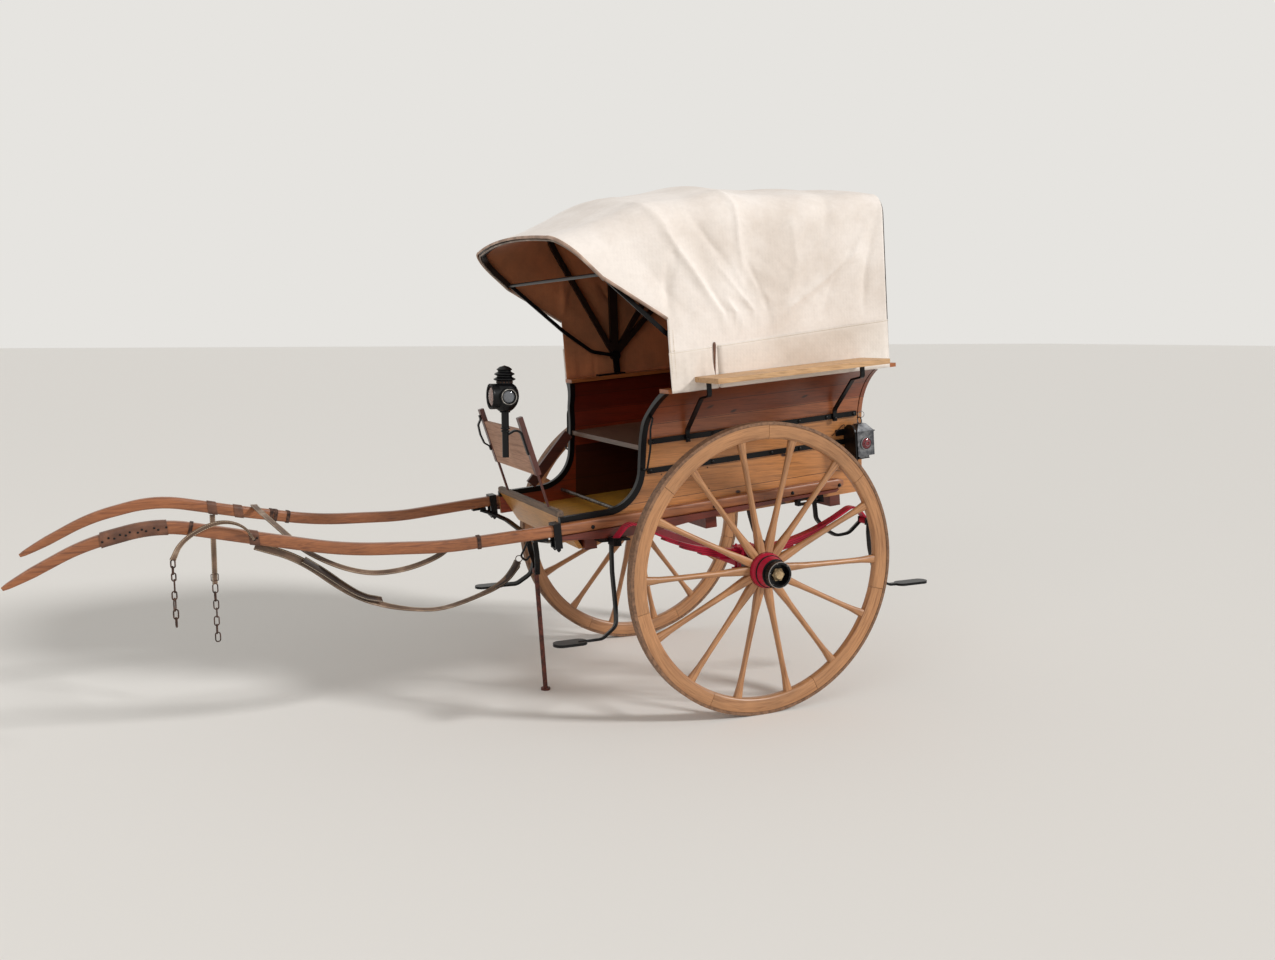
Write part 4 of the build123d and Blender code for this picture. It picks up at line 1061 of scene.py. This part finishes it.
def hem_seams():
    """The lines of the stitches along the hem bands and the front edges."""
    lines = []
    for side, _ in SIDES:
        for x0, x1 in BAND_SPANS:
            lines.append([level(x, side * (HOOD_HALF + SEAM_PROUD), seam_height(x) - 0.006)
                          for x in span(x0, x1, 32)])
        for x in (HOOD_FRONT - 0.006, HOOD_FRONT - 0.022):
            for proud, low, high in ((SEAM_PROUD, HEM_Z + 0.004, 0.17), (BAND_PROUD, 0.985, 0.13)):
                lines.append([level(x, side * (HOOD_HALF + proud), z)
                              for z in span(low, low + high, 12)])
    return lines


def rim_seam(front):
    """The line of the stitches just behind the rim."""
    line = []
    for a, b in zip(front[-1], front[-2]):
        p = Vector(a).lerp(Vector(b), 0.7)
        line.append(level(*(p + Vector((0, p.y * 0.5, 0.8)).normalized() * 0.0025)))
    return line


def bindings(rear, front, rim, sag):
    """The leather round the hood's edges, its rim's piping, and a dark strip in the frayed slit of the
    near hem, which paints the shade of the gap.
    """
    left = [settle(row[0], sag) for row in front]
    right = [settle((x, -y, z), sag) for x, y, z in (row[0] for row in reversed(front))]
    rim = [Vector(p) for p in rim]
    edge = [level(*p) for p in (*left[:-1], *rim, *right[1:])]
    back = [level(HOOD_REAR - 0.003, y * 0.988, z - 0.009) for _, y, z in rear[2:-2]]
    inner = [level(p.x - 0.010, p.y * 0.984, p.z - 0.012) for p in rim]
    slit = eased([level(x, HOOD_HALF + 0.0026, z) for x, z in HEM_SLIT_SHADE], 2)
    for name, line, section, across, finish, slot, scale in (
            ("hood_edge_binding", edge, pad(0.013, 0.009, 0.0035), (0, 0.3, 1), "binding",
             "strap_leather", None),
            ("hood_rear_binding", back, pad(0.012, 0.005, 0.0015), (0, 0.2, 1), "dark leather",
             "strap_leather", None),
            ("hood_rim_piping", inner, disc(0.0045, 8), (0, 0.3, 1), "piping",
             "strap_leather", None),
            # The slit's dark tapering strip is painted shade of the gap behind the torn cloth
            ("hood_hem_slit", slit, pad(0.017, 0.0016, 0.0004), (1, 0, 0), "sleeve",
             "canvas_cream", lambda share: 0.45 + 0.55 * min(1.0, share * 5) - 0.75 * share)):
        yield piece(name, [swept(line, section, across, scale)], finish, slot)


class CART_OT_hood_canvas(bpy.types.Operator):
    """Stretch the canvas over the bows, with its lining, folds, hem band, bindings and stitches"""
    bl_idname = "cart.hood_canvas"
    bl_label = "Hood canvas"

    def execute(self, context):
        sizes = context.scene.cart_sizes
        body = [[(x, y, z) for y, z in hoop(HEM_Z, ELBOW_Z, roof_height(x), CROWN_RISE, HOOP_FACES,
                                            corner_radius(x))]
                for x in span(HOOD_REAR, HOOD_FRONT, BODY_ROWS)]
        rim = [(RIM_AT[0] + z * math.cos(RIM_PITCH), y, RIM_AT[1] + z * math.sin(RIM_PITCH))
               for y, z in hoop(0.0, 0.0, RIM_HEIGHT, RIM_RISE, (0, *HOOP_FACES[1:]))]
        front = front_rows(body[-1][HOOP_FACES[0]:-HOOP_FACES[0]], rim)
        made = solid("hood_canvas_cloth", [body, front, curtain_columns(body[0])],
                     ["canvas", "lining"], 80, around=False)
        drape_canvas(made.data, sizes.sag)
        thicken(made, thickness=sizes.canvas_thickness, offset=-1.0, material_offset=1,
                material_offset_rim=0)
        fit(made, BODY, "canvas_cream")
        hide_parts("hood_canvas")
        pieces = [hem_band(), *bindings(body[0], front, rim, sizes.sag)]
        pieces.append(stitches("hood_stitches", [*hem_seams(), rim_seam(front)], "canvas_cream",
                               sizes.stitch))
        return {"FINISHED"}


# Wheels: the rim's middle out from the cart's, the tyre's thickness, the felloes' depth
WHEEL_MID, TYRE_THICK, FELLOE_DEEP = 0.704, 0.013, 0.062
TYRE_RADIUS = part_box("tyre_left")[1].z / 2
FELLOE_OUTER = TYRE_RADIUS - TYRE_THICK
FELLOE_INNER = FELLOE_OUTER - FELLOE_DEEP
# How much further in the hub's end of a spoke stands
DISH = 0.010
# Each row: distance from the axle, width round the wheel, depth along the axle, corner cut
SPOKE_ROWS = (
    (0.066, 0.036, 0.034, 0.003),
    (0.110, 0.035, 0.033, 0.003),
    (0.150, 0.032, 0.032, 0.005),
    (0.210, 0.026, 0.030, 0.008),
    (0.320, 0.023, 0.027, 0.008),
    (0.440, 0.023, 0.025, 0.008),
    (0.510, 0.026, 0.025, 0.007),
    (0.555, 0.034, 0.026, 0.006),
    (0.590, 0.040, 0.027, 0.004),
)
# Half a felloe's thickness, and the gap between two felloes
FELLOE_HALF = 0.0205
FELLOE_GAP = 0.0009
# Each hub band: how far back from the nose, and its radius
HUB_BANDS = ((0.046, 0.0625), (0.128, 0.080), (0.085, 0.0725))
# The tyre's bolts: their angle from a joint, how deep they sit and their size
BOLT_TURN, BOLT_SINK, TYRE_BOLT = 0.05, 0.0015, 0.011
# The rivets in a hub's nose: their circle's radius and their size
RIVET_CIRCLE, RIVET = 0.0515, 0.006
# How far each copied spoke or felloe moves in its timber, so that no two look alike
GRAIN_STEP = Vector((0.37, 0.61, 0.83))


def rim_section():
    """A felloe's section: square to the tyre, its inner edges rounded off."""
    half, deep = FELLOE_HALF, (FELLOE_OUTER - FELLOE_INNER) / 2
    edge = [(deep - 0.001, half), (0.010 - deep, half), (0.004 - deep, half - 0.003),
            (0.001 - deep, half - 0.007), (-deep, half - 0.012)]
    return [(deep - 0.001, -half), (deep, 0.001 - half), (deep, half - 0.001), *edge,
            *[(u, -v) for u, v in reversed(edge[1:])]]


def spoke_rows(side):
    """One spoke, upright, dished towards its tip."""
    tip, root = SPOKE_ROWS[-1][0], SPOKE_ROWS[0][0]
    rows = []
    for radius, width, depth, corner in SPOKE_ROWS:
        lean = -side * DISH * (tip - radius) / (tip - root)
        rows.append([Vector((u, lean + v, radius)) for u, v in pad(width, depth, corner)])
    return rows


def felloe_rows(turn):
    """One felloe, bent through its share of the wheel."""
    gap = FELLOE_GAP / FELLOE_OUTER
    middle = (FELLOE_INNER + FELLOE_OUTER) / 2
    return [[outward(a) * (middle + u) + Vector((0, v, 0)) for u, v in rim_section()]
            for a in span(gap, turn - gap, 20)]


def rim_grain(p):
    """The grain's place on a felloe: bent round with it."""
    return math.atan2(p.x, p.z) * 0.6, p.y, Vector((p.x, 0, p.z)).length


def round_wheel(name, rows, finish, sharp, grain, count, start, centre, body):
    """A wooden part copied round a wheel, each copy cut from its own place in the timber."""
    part = solid(finish, [rows], [finish], sharp)
    layer = part.data.attributes.new("grain", "FLOAT_VECTOR", "POINT")
    for item, vertex in zip(layer.data, part.data.vertices):
        item.vector = grain(vertex.co)
    made = through("wheel", part, name, count=count, start=start, centre=tuple(centre),
                   finish=FINISHES[finish])
    layer = made.data.attributes["grain"].data
    for i, item in enumerate(layer):
        item.vector = Vector(item.vector) + GRAIN_STEP * (i // (len(layer) // count))
    return fit(made, body, "wheel_wood")


class CART_OT_wheels(bpy.types.Operator):
    """Shave the spokes, bend the felloes and bolt up both wheels"""
    bl_idname = "cart.wheels"
    bl_label = "Wheels"

    def execute(self, context):
        sizes = context.scene.cart_sizes
        turn = 2 * math.pi / sizes.felloes
        for side, word in SIDES:
            body = "wheel_" + word
            axis = (0, side, 0)
            centre = AXLE + Vector((0, side * WHEEL_MID, 0))
            made = round_wheel("spokes_" + word + "_shaved", spoke_rows(side), "spoke", 50,
                               lambda p: p, sizes.spokes, math.pi / sizes.spokes, centre, body)
            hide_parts("spokes_" + word)
            made = round_wheel("felloes_" + word + "_bent", felloe_rows(turn), "felloe", 40,
                               rim_grain, sizes.felloes, 0.0, centre, body)
            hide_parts("felloes_" + word)
            # Two bolts through the tyre beside each joint of the rim
            ways = [outward(turn * i + shift) for i in range(sizes.felloes)
                    for shift in (-BOLT_TURN, BOLT_TURN)]
            scatter("tyre_bolts_" + word, [(centre + way * (TYRE_RADIUS - BOLT_SINK), way)
                                           for way in ways], "tyre", TYRE_BOLT, "iron_tyre", body)
            piece("hub_bands_" + word, [
                turned(((radius - 0.006, 0), (radius, 0.001), (radius, 0.007),
                        (radius - 0.006, 0.008)),
                       AXLE + Vector((0, side * (HUB_NOSE - back), 0)), axis, 40)
                for back, radius in HUB_BANDS], "black", "black_iron", body, **RING)
            nose = AXLE + Vector((0, side * (HUB_NOSE - 0.0005), 0))
            scatter("hub_rivets_" + word, [(nose + outward(math.pi / 3 * i + 0.3) * RIVET_CIRCLE,
                                            axis) for i in range(6)], "steel", RIVET, "bare_steel", body)
        return {"FINISHED"}


# Shafts, body level
SHAFT_LINE = ((-0.590, 0.462, 0.275), (0.925, 0.462, 0.275), (1.330, 0.424, 0.277),
              (1.720, 0.392, 0.325), (2.060, 0.352, 0.425), (2.380, 0.334, 0.525),
              (2.640, 0.334, 0.488), (2.918, 0.330, 0.372))
# The radii of its bends, its width and height, its length
SHAFT_BENDS = (0.9, 1.4, 1.6, 1.2, 0.5, 0.7)
SHAFT_SIZE = (0.0436, 0.0496)
SHAFT_LENGTH = 3.58
# Bands round each shaft by their place forward, and rows of tacks by first, last and count
SHAFT_BANDS = ((1, (1.212, 2.300)), (-1, (1.875, 1.925, 1.950)))
SHAFT_TACKS = ((1, ((2.35, 2.58, 12), (2.035, 2.068, 3))), (-1, ((2.142, 2.172, 3),)))
# A band's half width and height; how far out the tacks stand, and their stagger
BAND_HALF = (0.0245, 0.0275)
TACK_OUT, TACK_STAGGER = 0.0252, 0.004


def shaft_taper(share):
    """The shaft's thickness along its length: both ends are rounded, the front one slimmer."""
    tip, heel = (1 - share) * SHAFT_LENGTH, share * SHAFT_LENGTH
    if tip < 0.10:
        return 0.28 + 0.50 * (tip / 0.10) ** 0.6
    if tip < 0.62:
        return 0.78 + 0.22 * (tip - 0.10) / 0.52
    return min(1.0, 0.55 + 0.45 * (heel / 0.035) ** 0.5)


def shaft_path(side):
    """The middle line of the shaft on one side."""
    return spread(bent([level(x, side * y, z) for x, y, z in SHAFT_LINE], SHAFT_BENDS), 0.02)


def level_x(point):
    """How far a point lies forward of the axle with the body level."""
    ahead = point - AXLE
    return ahead.x * math.cos(NOSE_DOWN) - ahead.z * math.sin(NOSE_DOWN)


class CART_OT_shafts(bpy.types.Operator):
    """Shave both shafts down to their tips and fit their iron bands and tacks"""
    bl_idname = "cart.shafts"
    bl_label = "Shafts"

    def execute(self, context):
        # A squarish oval: a circle's sines and cosines raised to this power
        oval = [tuple(math.copysign(abs(way) ** 0.45, way) * size / 2
                      for way, size in zip((math.cos(a), math.sin(a)), SHAFT_SIZE))
                for a in (2 * math.pi * (i + 0.5) / 20 for i in range(20))]
        paths = {side: shaft_path(side) for side, _ in SIDES}
        for side, word in SIDES:
            made = piece("shaft_" + word + "_shaved",
                         [swept(paths[side], oval, (0, 1, 0), shaft_taper)], "shaft", "shaft_wood")
            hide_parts("shaft_" + word)
        around = [(u * BAND_HALF[0], v * BAND_HALF[1]) for u, v in pad(2.0, 2.0, 0.35)]
        bands, tacks = [], []
        for side, places in SHAFT_BANDS:
            path = paths[side]
            for x in places:
                i = min(range(len(path)), key=lambda n: abs(path[n].x - AXLE.x - x))
                run = [path[near].lerp(path[i], 0.6) for near in (i - 1, i + 1)]
                bands.append(swept(run, around, (0, 1, 0)))
        for side, runs in SHAFT_TACKS:
            for x0, x1, count in runs:
                for i in range(count):
                    x = x0 + (x1 - x0) * (i + 0.5) / count
                    at = min(paths[side], key=lambda p: abs(level_x(p) - x))
                    tacks.append((at + Vector((0, side * TACK_OUT, TACK_STAGGER * (-1) ** i)),
                                  (0, side, 0)))
        piece("shaft_bands", bands, "rust", "black_iron", sharp=30)
        scatter("shaft_tacks", tacks, "black", 0.008)
        return {"FINISHED"}


# Harness left on the shafts, points forward, left and above the axle as parked
LONG_STRAP = ((2.078, 0.352, 0.2104), (1.914, 0.362, 0.149), (1.734, 0.317, -0.008),
              (1.597, 0.264, -0.092), (1.433, 0.211, -0.145), (1.302, 0.159, -0.168),
              (1.152, 0.106, -0.148), (0.995, 0.053, -0.110), (0.904, 0.010, -0.032))
LOOP_STRAP = ((2.086, 0.3933, 0.245), (2.118, 0.3933, 0.298), (2.190, 0.3933, 0.322),
              (2.270, 0.3933, 0.300), (2.346, 0.3933, 0.248), (2.374, 0.3933, 0.186))
CROSS_STRAP = ((2.012, -0.385, 0.2616), (2.012, -0.320, 0.2616), (1.985, -0.120, 0.243),
               (1.942, 0.160, 0.216), (1.895, 0.320, 0.172), (1.796, 0.376, 0.118),
               (1.700, 0.382, 0.080), (1.607, 0.384, 0.064), (1.476, 0.384, 0.076),
               (1.350, 0.386, 0.122), (1.318, 0.392, 0.165))
DROP_STRAP = ((2.190, -0.346, 0.234), (2.191, -0.346, 0.080), (2.193, -0.346, -0.076))
SECOND_STRAP = ((1.90, 0.372, 0.142), (1.82, 0.352, 0.082), (1.74, 0.328, 0.012),
                (1.66, 0.298, -0.046), (1.58, 0.268, -0.072))
STRAP_END = ((1.035, 0.066, -0.117), (0.975, 0.046, -0.094), (0.925, 0.022, -0.048),
             (0.905, 0.012, -0.016))
# Stitch lines out from a strap's middle as a share of its width, and the stitch's length
STITCH_LINES, STRAP_STITCH = (-0.38, 0.38), 0.008
CHAIN_WIRE = 0.0055
# Each link's length and width
NEAR_LINKS = ((0.036, 0.020), (0.036, 0.020), (0.036, 0.020), (0.056, 0.040), (0.038, 0.022),
              (0.054, 0.040), (0.042, 0.022), (0.042, 0.022))
FAR_LINKS = ((0.048, 0.026),) * 7


def strap_piece(name, routes, finish, width, thick):
    """Flat leather along each (points, across, share of width, twist) route, its edges sewn."""
    rows, lines = [], []
    for points, across, share, twist in routes:
        path = eased([parked(*p) for p in points])
        wide = width * share
        rows.append(swept(path, pad(wide, thick, thick * 0.3), across, twist=twist))
        for u in STITCH_LINES:
            for lift in (-1, 1):
                edge = [(u * wide, lift * (thick / 2 + 0.0002))]
                lines.append([row[0] for row in swept(path, edge, across, twist=twist)])
    made = piece(name, rows, finish, "strap_leather")
    stitches(name + "_stitches", lines, "strap_leather", STRAP_STITCH)
    return made


def link(length, width, wire):
    """Rows of one oval chain link, standing in X and Z."""
    straight, bend = length / 2 - width / 2, width / 2 - wire / 2
    path = [Vector((end * bend * math.cos(a), 0, end * (straight + bend * math.sin(a))))
            for end in (1, -1) for a in span(0.0, math.pi, 8)]
    side = Vector((0, 1, 0))
    rows = []
    for i, point in enumerate(path):
        rise = (path[(i + 1) % len(path)] - path[i - 1]).normalized().cross(side)
        rows.append([point + side * u + rise * v for u, v in disc(wire / 2, 8)])
    return rows


def chain(place, sizes):
    """Rows of a chain's links, hanging below a place and each turned against the last."""
    x, y, z = place
    z += 0.004
    for i, (length, wide) in enumerate(sizes):
        z -= length / 2 - (CHAIN_WIRE if i else 0)
        turn = Matrix.Rotation(math.radians(90 * (i % 2) + 14 * math.sin(i * 2.1)), 3, "Z")
        at = parked(x + 0.0015 * math.sin(i * 1.7), y, z)
        yield [[at + turn @ p for p in row] for row in link(length, wide, CHAIN_WIRE)]
        z -= length / 2 - CHAIN_WIRE


class CART_OT_harness(bpy.types.Operator):
    """Sew the straps, loops and bindings left on the shafts and hang the chains"""
    bl_idname = "cart.harness"
    bl_label = "Harness"

    def execute(self, context):
        width = context.scene.cart_sizes.strap
        across, along = (0, 1, 0), (1, 0, 0)
        made = strap_piece("harness_straps_sewn", (
            (LONG_STRAP, across, 1.1, (80, 92, 85, 32, 8, 0, 0, 20, 65)),
            (LOOP_STRAP, across, 0.9, (0, 20, 45, 45, 60)),
            (CROSS_STRAP, along, 1.0, (0, 0, 0)),
            (DROP_STRAP, along, 0.75, (0, 0, -12))), "leather", width, 0.004)
        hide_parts("harness_straps")
        doubled = [(x, y - 0.005, z) for x, y, z in DROP_STRAP]
        for name, route, thick in (
                ("second_strap", (SECOND_STRAP, across, 1.0, (75, 72, 60, 40, 30)), 0.0035),
                ("strap_end", (STRAP_END, across, 1.15, (10, 25, 60, 65)), 0.003),
                ("drop_strap_lining", (doubled, along, 0.7, (0, 0, -12)), 0.004)):
            strap_piece(name, (route,), "dark leather", width, thick)

        # The buckle: a bent wire frame round the drop strap, just above its end
        x, y, z = DROP_STRAP[-1]
        half, tall = (width * 0.75 + 0.008) / 2, 0.015
        frame_line = bent([parked(x + u, y + 0.002, z + 0.030 + v) for u, v in (
            (0, -tall), (half, -tall), (half, tall), (-half, tall), (-half, -tall),
            (0.0001, -tall))], (0.004,) * 4)
        piece("drop_strap_buckle", [swept(frame_line, disc(0.0018, 8), across)], "rust",
              "rusty_chain", sharp=60)
        piece("strap_end_ring", [hoop_of(0.0150, 0.0020, parked(0.897, 0.006, -0.006),
                                         (0.3, 0.9, 0.42))], "rust", "rusty_chain", sharp=60, **RING)
        made = piece("chain_links", [*chain(LOOP_STRAP[-1], NEAR_LINKS),
                                     *chain(DROP_STRAP[-1], FAR_LINKS)],
                     "rust", "rusty_chain", sharp=60, **RING)
        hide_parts("chains")
        return {"FINISHED"}


# Bolts, nails and small irons on the body: how far out from the middle each face lies
LOWER_STRAP, UPPER_STRAP, STAY_FOOT, SILL_FACE, BOARD_FACE = 0.4513, 0.4518, 0.4628, 0.4838, 0.4405
STAYS = (0.206, -0.570)
# The tailgate's outer face at its hinge, how far it leans, and its irons' bolts up it
GATE_FOOT, GATE_LEAN, GATE_HALF = (-0.706, 0.219), math.atan2(0.030, 0.593), 0.0152
GATE_BOLTS = (0.06, 0.18, 0.30)
HOOK_WIRE = ((-0.560, 0.4405, 0.500), (-0.562, 0.4440, 0.500), (-0.585, 0.4460, 0.518),
             (-0.612, 0.4470, 0.538), (-0.628, 0.4465, 0.548), (-0.634, 0.4455, 0.536),
             (-0.622, 0.4450, 0.512), (-0.614, 0.4405, 0.506))


class CART_OT_fasteners(bpy.types.Operator):
    """Drive the coach bolts, nails and nuts"""
    bl_idname = "cart.fasteners"
    bl_label = "Fasteners"

    def execute(self, context):
        heads, nails, nuts = [], [], []
        for side, _ in SIDES:
            out = (0, side, 0)
            # Along both side straps, at the stays' feet and along the sill
            for z, front, face in ((0.465, 0.395, LOWER_STRAP), (0.592, 0.378, UPPER_STRAP)):
                heads += [(level(x, side * face, z), out) for x in span(front, -0.680, 7)]
            heads += [(level(x, side * STAY_FOOT, 0.583), out) for x in STAYS]
            heads += [(level(x, side * SILL_FACE, 0.268), out) for x in (0.70, 0.11, -0.30, -0.56)]
            nails += [(level(x, side * BOARD_FACE, z), out)
                      for x in (-0.66, -0.30, 0.11, 0.34) for z in (0.345, 0.440)]
            # Under the shaft's clamp and under the axle's clips
            nuts += [(level(0.862, side * y, 0.1995), (0, 0, -1)) for y in (0.436, 0.484)]
            nuts += [(parked(x, side * y, -0.037), (0, 0, -1))
                     for x in (-0.036, 0.036) for y in (0.509, 0.571)]
        # Across the front board's cap
        nails += [(level(0.812, y, 0.348), UP) for y in span(0.38, -0.38, 8)]
        # Through the right mudguard board, over its stays
        heads += [(level(x, -0.692, 0.8672), UP) for x in STAYS]
        lean, rear = GATE_LEAN, (-1, 0, -math.sin(GATE_LEAN + NOSE_DOWN))
        gate = [(level(GATE_FOOT[0] - GATE_HALF * math.cos(lean) - rise * math.sin(lean), y,
                       GATE_FOOT[1] - GATE_HALF * math.sin(lean) + rise * math.cos(lean)), rear)
                for y in (-0.26, 0.26) for rise in GATE_BOLTS]
        scatter("gate_bolts", gate, "black", 0.014, body="rear_gate")
        hook = eased([level(*p) for p in HOOK_WIRE], 2)
        piece("side_wire_hook", [swept(hook, disc(0.0016, 6), (0, 1, 0))], "rust", "black_iron",
              sharp=60)
        scatter("coach_bolts", heads, "black", context.scene.cart_sizes.bolt)
        scatter("board_nails", nails, "rust", 0.006)
        scatter("iron_nuts", nuts, "black", 0.020, part="nut")
        return {"FINISHED"}


# The lamp's middle, forward, left and above the axle as parked
LAMP_AT = (1.0454, 0.300, 0.7618)
# The two glasses' radii, and how far their rims stand out from the middle
FRONT_GLASS, SIDE_GLASS, GLASS_OUT = 0.0432, 0.0272, 0.053
# How far a glass bulges, as a share of its radius
GLASS_BULGE = 0.32
# Each rim's inner and outer radius
FRONT_RIMS = ((0.0455, 0.0500), (0.0515, 0.0545))
SIDE_RIM = ((0.0290, 0.0345),)
# Each collar's drop below the lamp's middle, and its radius
COLLARS = ((-0.066, 0.020), (-0.136, 0.0175), (-0.148, 0.0165))
# The rims' middle out from the lamp's, and the vents' ring under its chimney
RIM_OUT = 0.0612
VENTS, VENT_RADIUS, VENT_UP = 16, 0.0328, 0.0595
# The lantern's red glass: radius and height from its rim to its middle
BULLSEYE = ((0.0262, 0.0), (0.0262, 0.003), (0.0225, 0.0068), (0.013, 0.0098), (0.002, 0.0105))


class CART_OT_lamps(bpy.types.Operator):
    """Trim the oil lamp and the tail lantern"""
    bl_idname = "cart.lamps"
    bl_label = "Lamps"

    def execute(self, context):
        at = parked(*LAMP_AT)
        front, side, up = Vector((1, 0, 0)), Vector((0, 1, 0)), Vector((0, 0, 1))
        for name, way, radius, finish in (
                ("lamp_front_glass", front, FRONT_GLASS, "front glass"),
                ("lamp_side_glass", side, SIDE_GLASS, "side glass")):
            dome = [(radius * math.cos(a), GLASS_OUT + radius * GLASS_BULGE * math.sin(a))
                    for a in (math.pi / 2 * i / 8 * 0.96 for i in range(9))]
            made = piece(name, [turned([(radius, GLASS_OUT - 0.0005), *dome], at, way, 40)], finish,
                         "clear_glass")
            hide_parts("lamp_glasses")
        for name, way, rims, finish, slot in (
                ("lamp_front_rims", front, FRONT_RIMS, "black", "black_iron"),
                ("lamp_side_rim", side, SIDE_RIM, "chrome", "bare_steel")):
            piece(name, [turned([((inner + outer) / 2 + (outer - inner) / 2 * u, RIM_OUT + v * 0.0045)
                                 for u, v in disc(1.0, 10)], at, way, 40)
                         for inner, outer in rims], finish, slot, **RING)
        ways = [Vector((math.cos(a), math.sin(a), 0)) for a in span(0.0, 2 * math.pi, VENTS)[:-1]]
        scatter("lamp_vents", [(at + way * VENT_RADIUS + up * VENT_UP, way) for way in ways],
                "rust", 0.008)
        piece("lamp_collars", [hoop_of(radius, 0.003, at + up * drop, up)
                               for drop, radius in COLLARS], "black", "black_iron", **RING)

        low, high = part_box("tail_lantern")
        glass_low, glass_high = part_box("tail_glass")
        eye = (glass_low + glass_high) / 2
        eye.y = glass_high.y - 0.006
        made = piece("lantern_bullseye", [turned(BULLSEYE, eye, side, 32)], "red glass", "red_glass")
        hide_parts("tail_glass")
        hang = Vector(((low.x + high.x) / 2, (low.y + high.y) / 2, high.z + 0.010))
        piece("lantern_rings", [hoop_of(0.0290, 0.0022, eye + side * 0.002, side, 32),
                                hoop_of(0.0120, 0.0010, eye + side * 0.0125, side, 32),
                                hoop_of(0.0150, 0.0013, hang, (0.35, 1, 0))],
              "zinc", "galvanised", **RING)
        return {"FINISHED"}


# The floor's reach from the cart, well past the view
FLOOR_REACH = 150.0
# The camera, found from the photograph's view: its place, its turn and tilt, its focal length
CAMERA_AT = (1.479, 4.778, 1.671)
YAW, PITCH = math.radians(24.35), math.radians(7.54)
FOCAL_PIXELS, FRAME_PIXELS = 1100.0, 1275.0


def aim(held, way):
    """Turns a light or a camera to look along a direction."""
    held.rotation_euler = way.to_track_quat("-Z", "Y").to_euler()


class CART_OT_stage(bpy.types.Operator):
    """Lay the floor, set the lights and the camera"""
    bl_idname = "cart.stage"
    bl_label = "Stage"

    def execute(self, context):
        scene = context.scene
        far = FLOOR_REACH
        # Plain matt paper: it keeps the shadow and shows nothing of its own
        FINISHES["paper"] = material("Pale studio floor", roughness=0.9,
                                     base_color=linear("#e4e1dc"))[0]
        floor = solid("studio_floor", [[[(-far, -far, 0), (far, -far, 0)],
                                        [(-far, far, 0), (far, far, 0)]]], ["paper"], around=False)
        for polygon in floor.data.polygons:
            if polygon.normal.z < 0:
                polygon.flip()
        world = bpy.data.worlds.new("Studio")
        scene.world = world
        world.use_nodes = True
        tree = world.node_tree
        tree.nodes.clear()
        path = add(tree, "ShaderNodeLightPath").outputs
        seen = path["Is Camera Ray"]
        for ray in ("Is Glossy Ray", "Is Transmission Ray"):
            seen = add(tree, "ShaderNodeMath", {0: seen, 1: path[ray]}, operation="MAXIMUM")
        light = add(tree, "ShaderNodeBackground", {"Color": linear("#f4f2ef"), "Strength": 0.55})
        plain = add(tree, "ShaderNodeBackground", {"Color": linear("#e6e4e0"), "Strength": 1.0})
        mixed = add(tree, "ShaderNodeMixShader", {0: seen, 1: light, 2: plain})
        add(tree, "ShaderNodeOutputWorld", {"Surface": mixed})
        for name, kind, place, power, softness in (
                ("Key", "SUN", (-4.4, 4.0, 4.6), 2.1, {"angle": math.radians(9)}),
                ("Fill", "AREA", (9.0, 8.0, 7.0), 260.0, {"size": 7.0})):
            lamp = bpy.data.lights.new(name, kind)
            lamp.energy = power
            for setting, value in softness.items():
                setattr(lamp, setting, value)
            held = placed(name, lamp)
            held.location = place
            aim(held, Vector((-0.2, 0, 0.9)) - Vector(place))
        eye = bpy.data.cameras.new("Camera")
        eye.sensor_width = 36.0
        eye.lens = eye.sensor_width * FOCAL_PIXELS / FRAME_PIXELS
        eye.clip_end = 200.0
        camera = placed("Camera", eye)
        camera.location = CAMERA_AT
        aim(camera, Vector((-math.sin(YAW) * math.cos(PITCH), -math.cos(YAW) * math.cos(PITCH),
                            -math.sin(PITCH))))
        scene.camera = camera
        scene.view_settings.view_transform = "Standard"
        return {"FINISHED"}


class CART_PT_panel(bpy.types.Panel):
    """Settings and steps of the cart's looks"""
    bl_label = "Cart looks"
    bl_idname = "CART_PT_panel"
    bl_space_type = "VIEW_3D"
    bl_region_type = "UI"
    bl_category = "Cart"

    def draw(self, context):
        for group in (context.scene.cart_colours, context.scene.cart_sizes):
            for name in group.bl_rna.properties.keys():
                if name not in ("rna_type", "name"):
                    self.layout.prop(group, name)
        for step in STEPS:
            self.layout.operator(step.bl_idname)


STEPS = (CART_OT_finishes, CART_OT_frame_finishes, CART_OT_hood_canvas, CART_OT_wheels,
         CART_OT_shafts, CART_OT_harness, CART_OT_fasteners, CART_OT_lamps, CART_OT_stage)
CLASSES = (CartColours, CartSizes, *STEPS, CART_PT_panel)


def register():
    """Adds the classes and the scene's settings."""
    for each in CLASSES:
        bpy.utils.register_class(each)
    bpy.types.Scene.cart_colours = bpy.props.PointerProperty(type=CartColours)
    bpy.types.Scene.cart_sizes = bpy.props.PointerProperty(type=CartSizes)


def unregister():
    """Takes the classes and the settings away again."""
    del bpy.types.Scene.cart_sizes
    del bpy.types.Scene.cart_colours
    for each in reversed(CLASSES):
        bpy.utils.unregister_class(each)


def main():
    """Makes the whole cart step by step."""
    register()
    for step in STEPS:
        group, name = step.bl_idname.split(".")
        getattr(getattr(bpy.ops, group), name)()


if __name__ == "__main__":
    main()
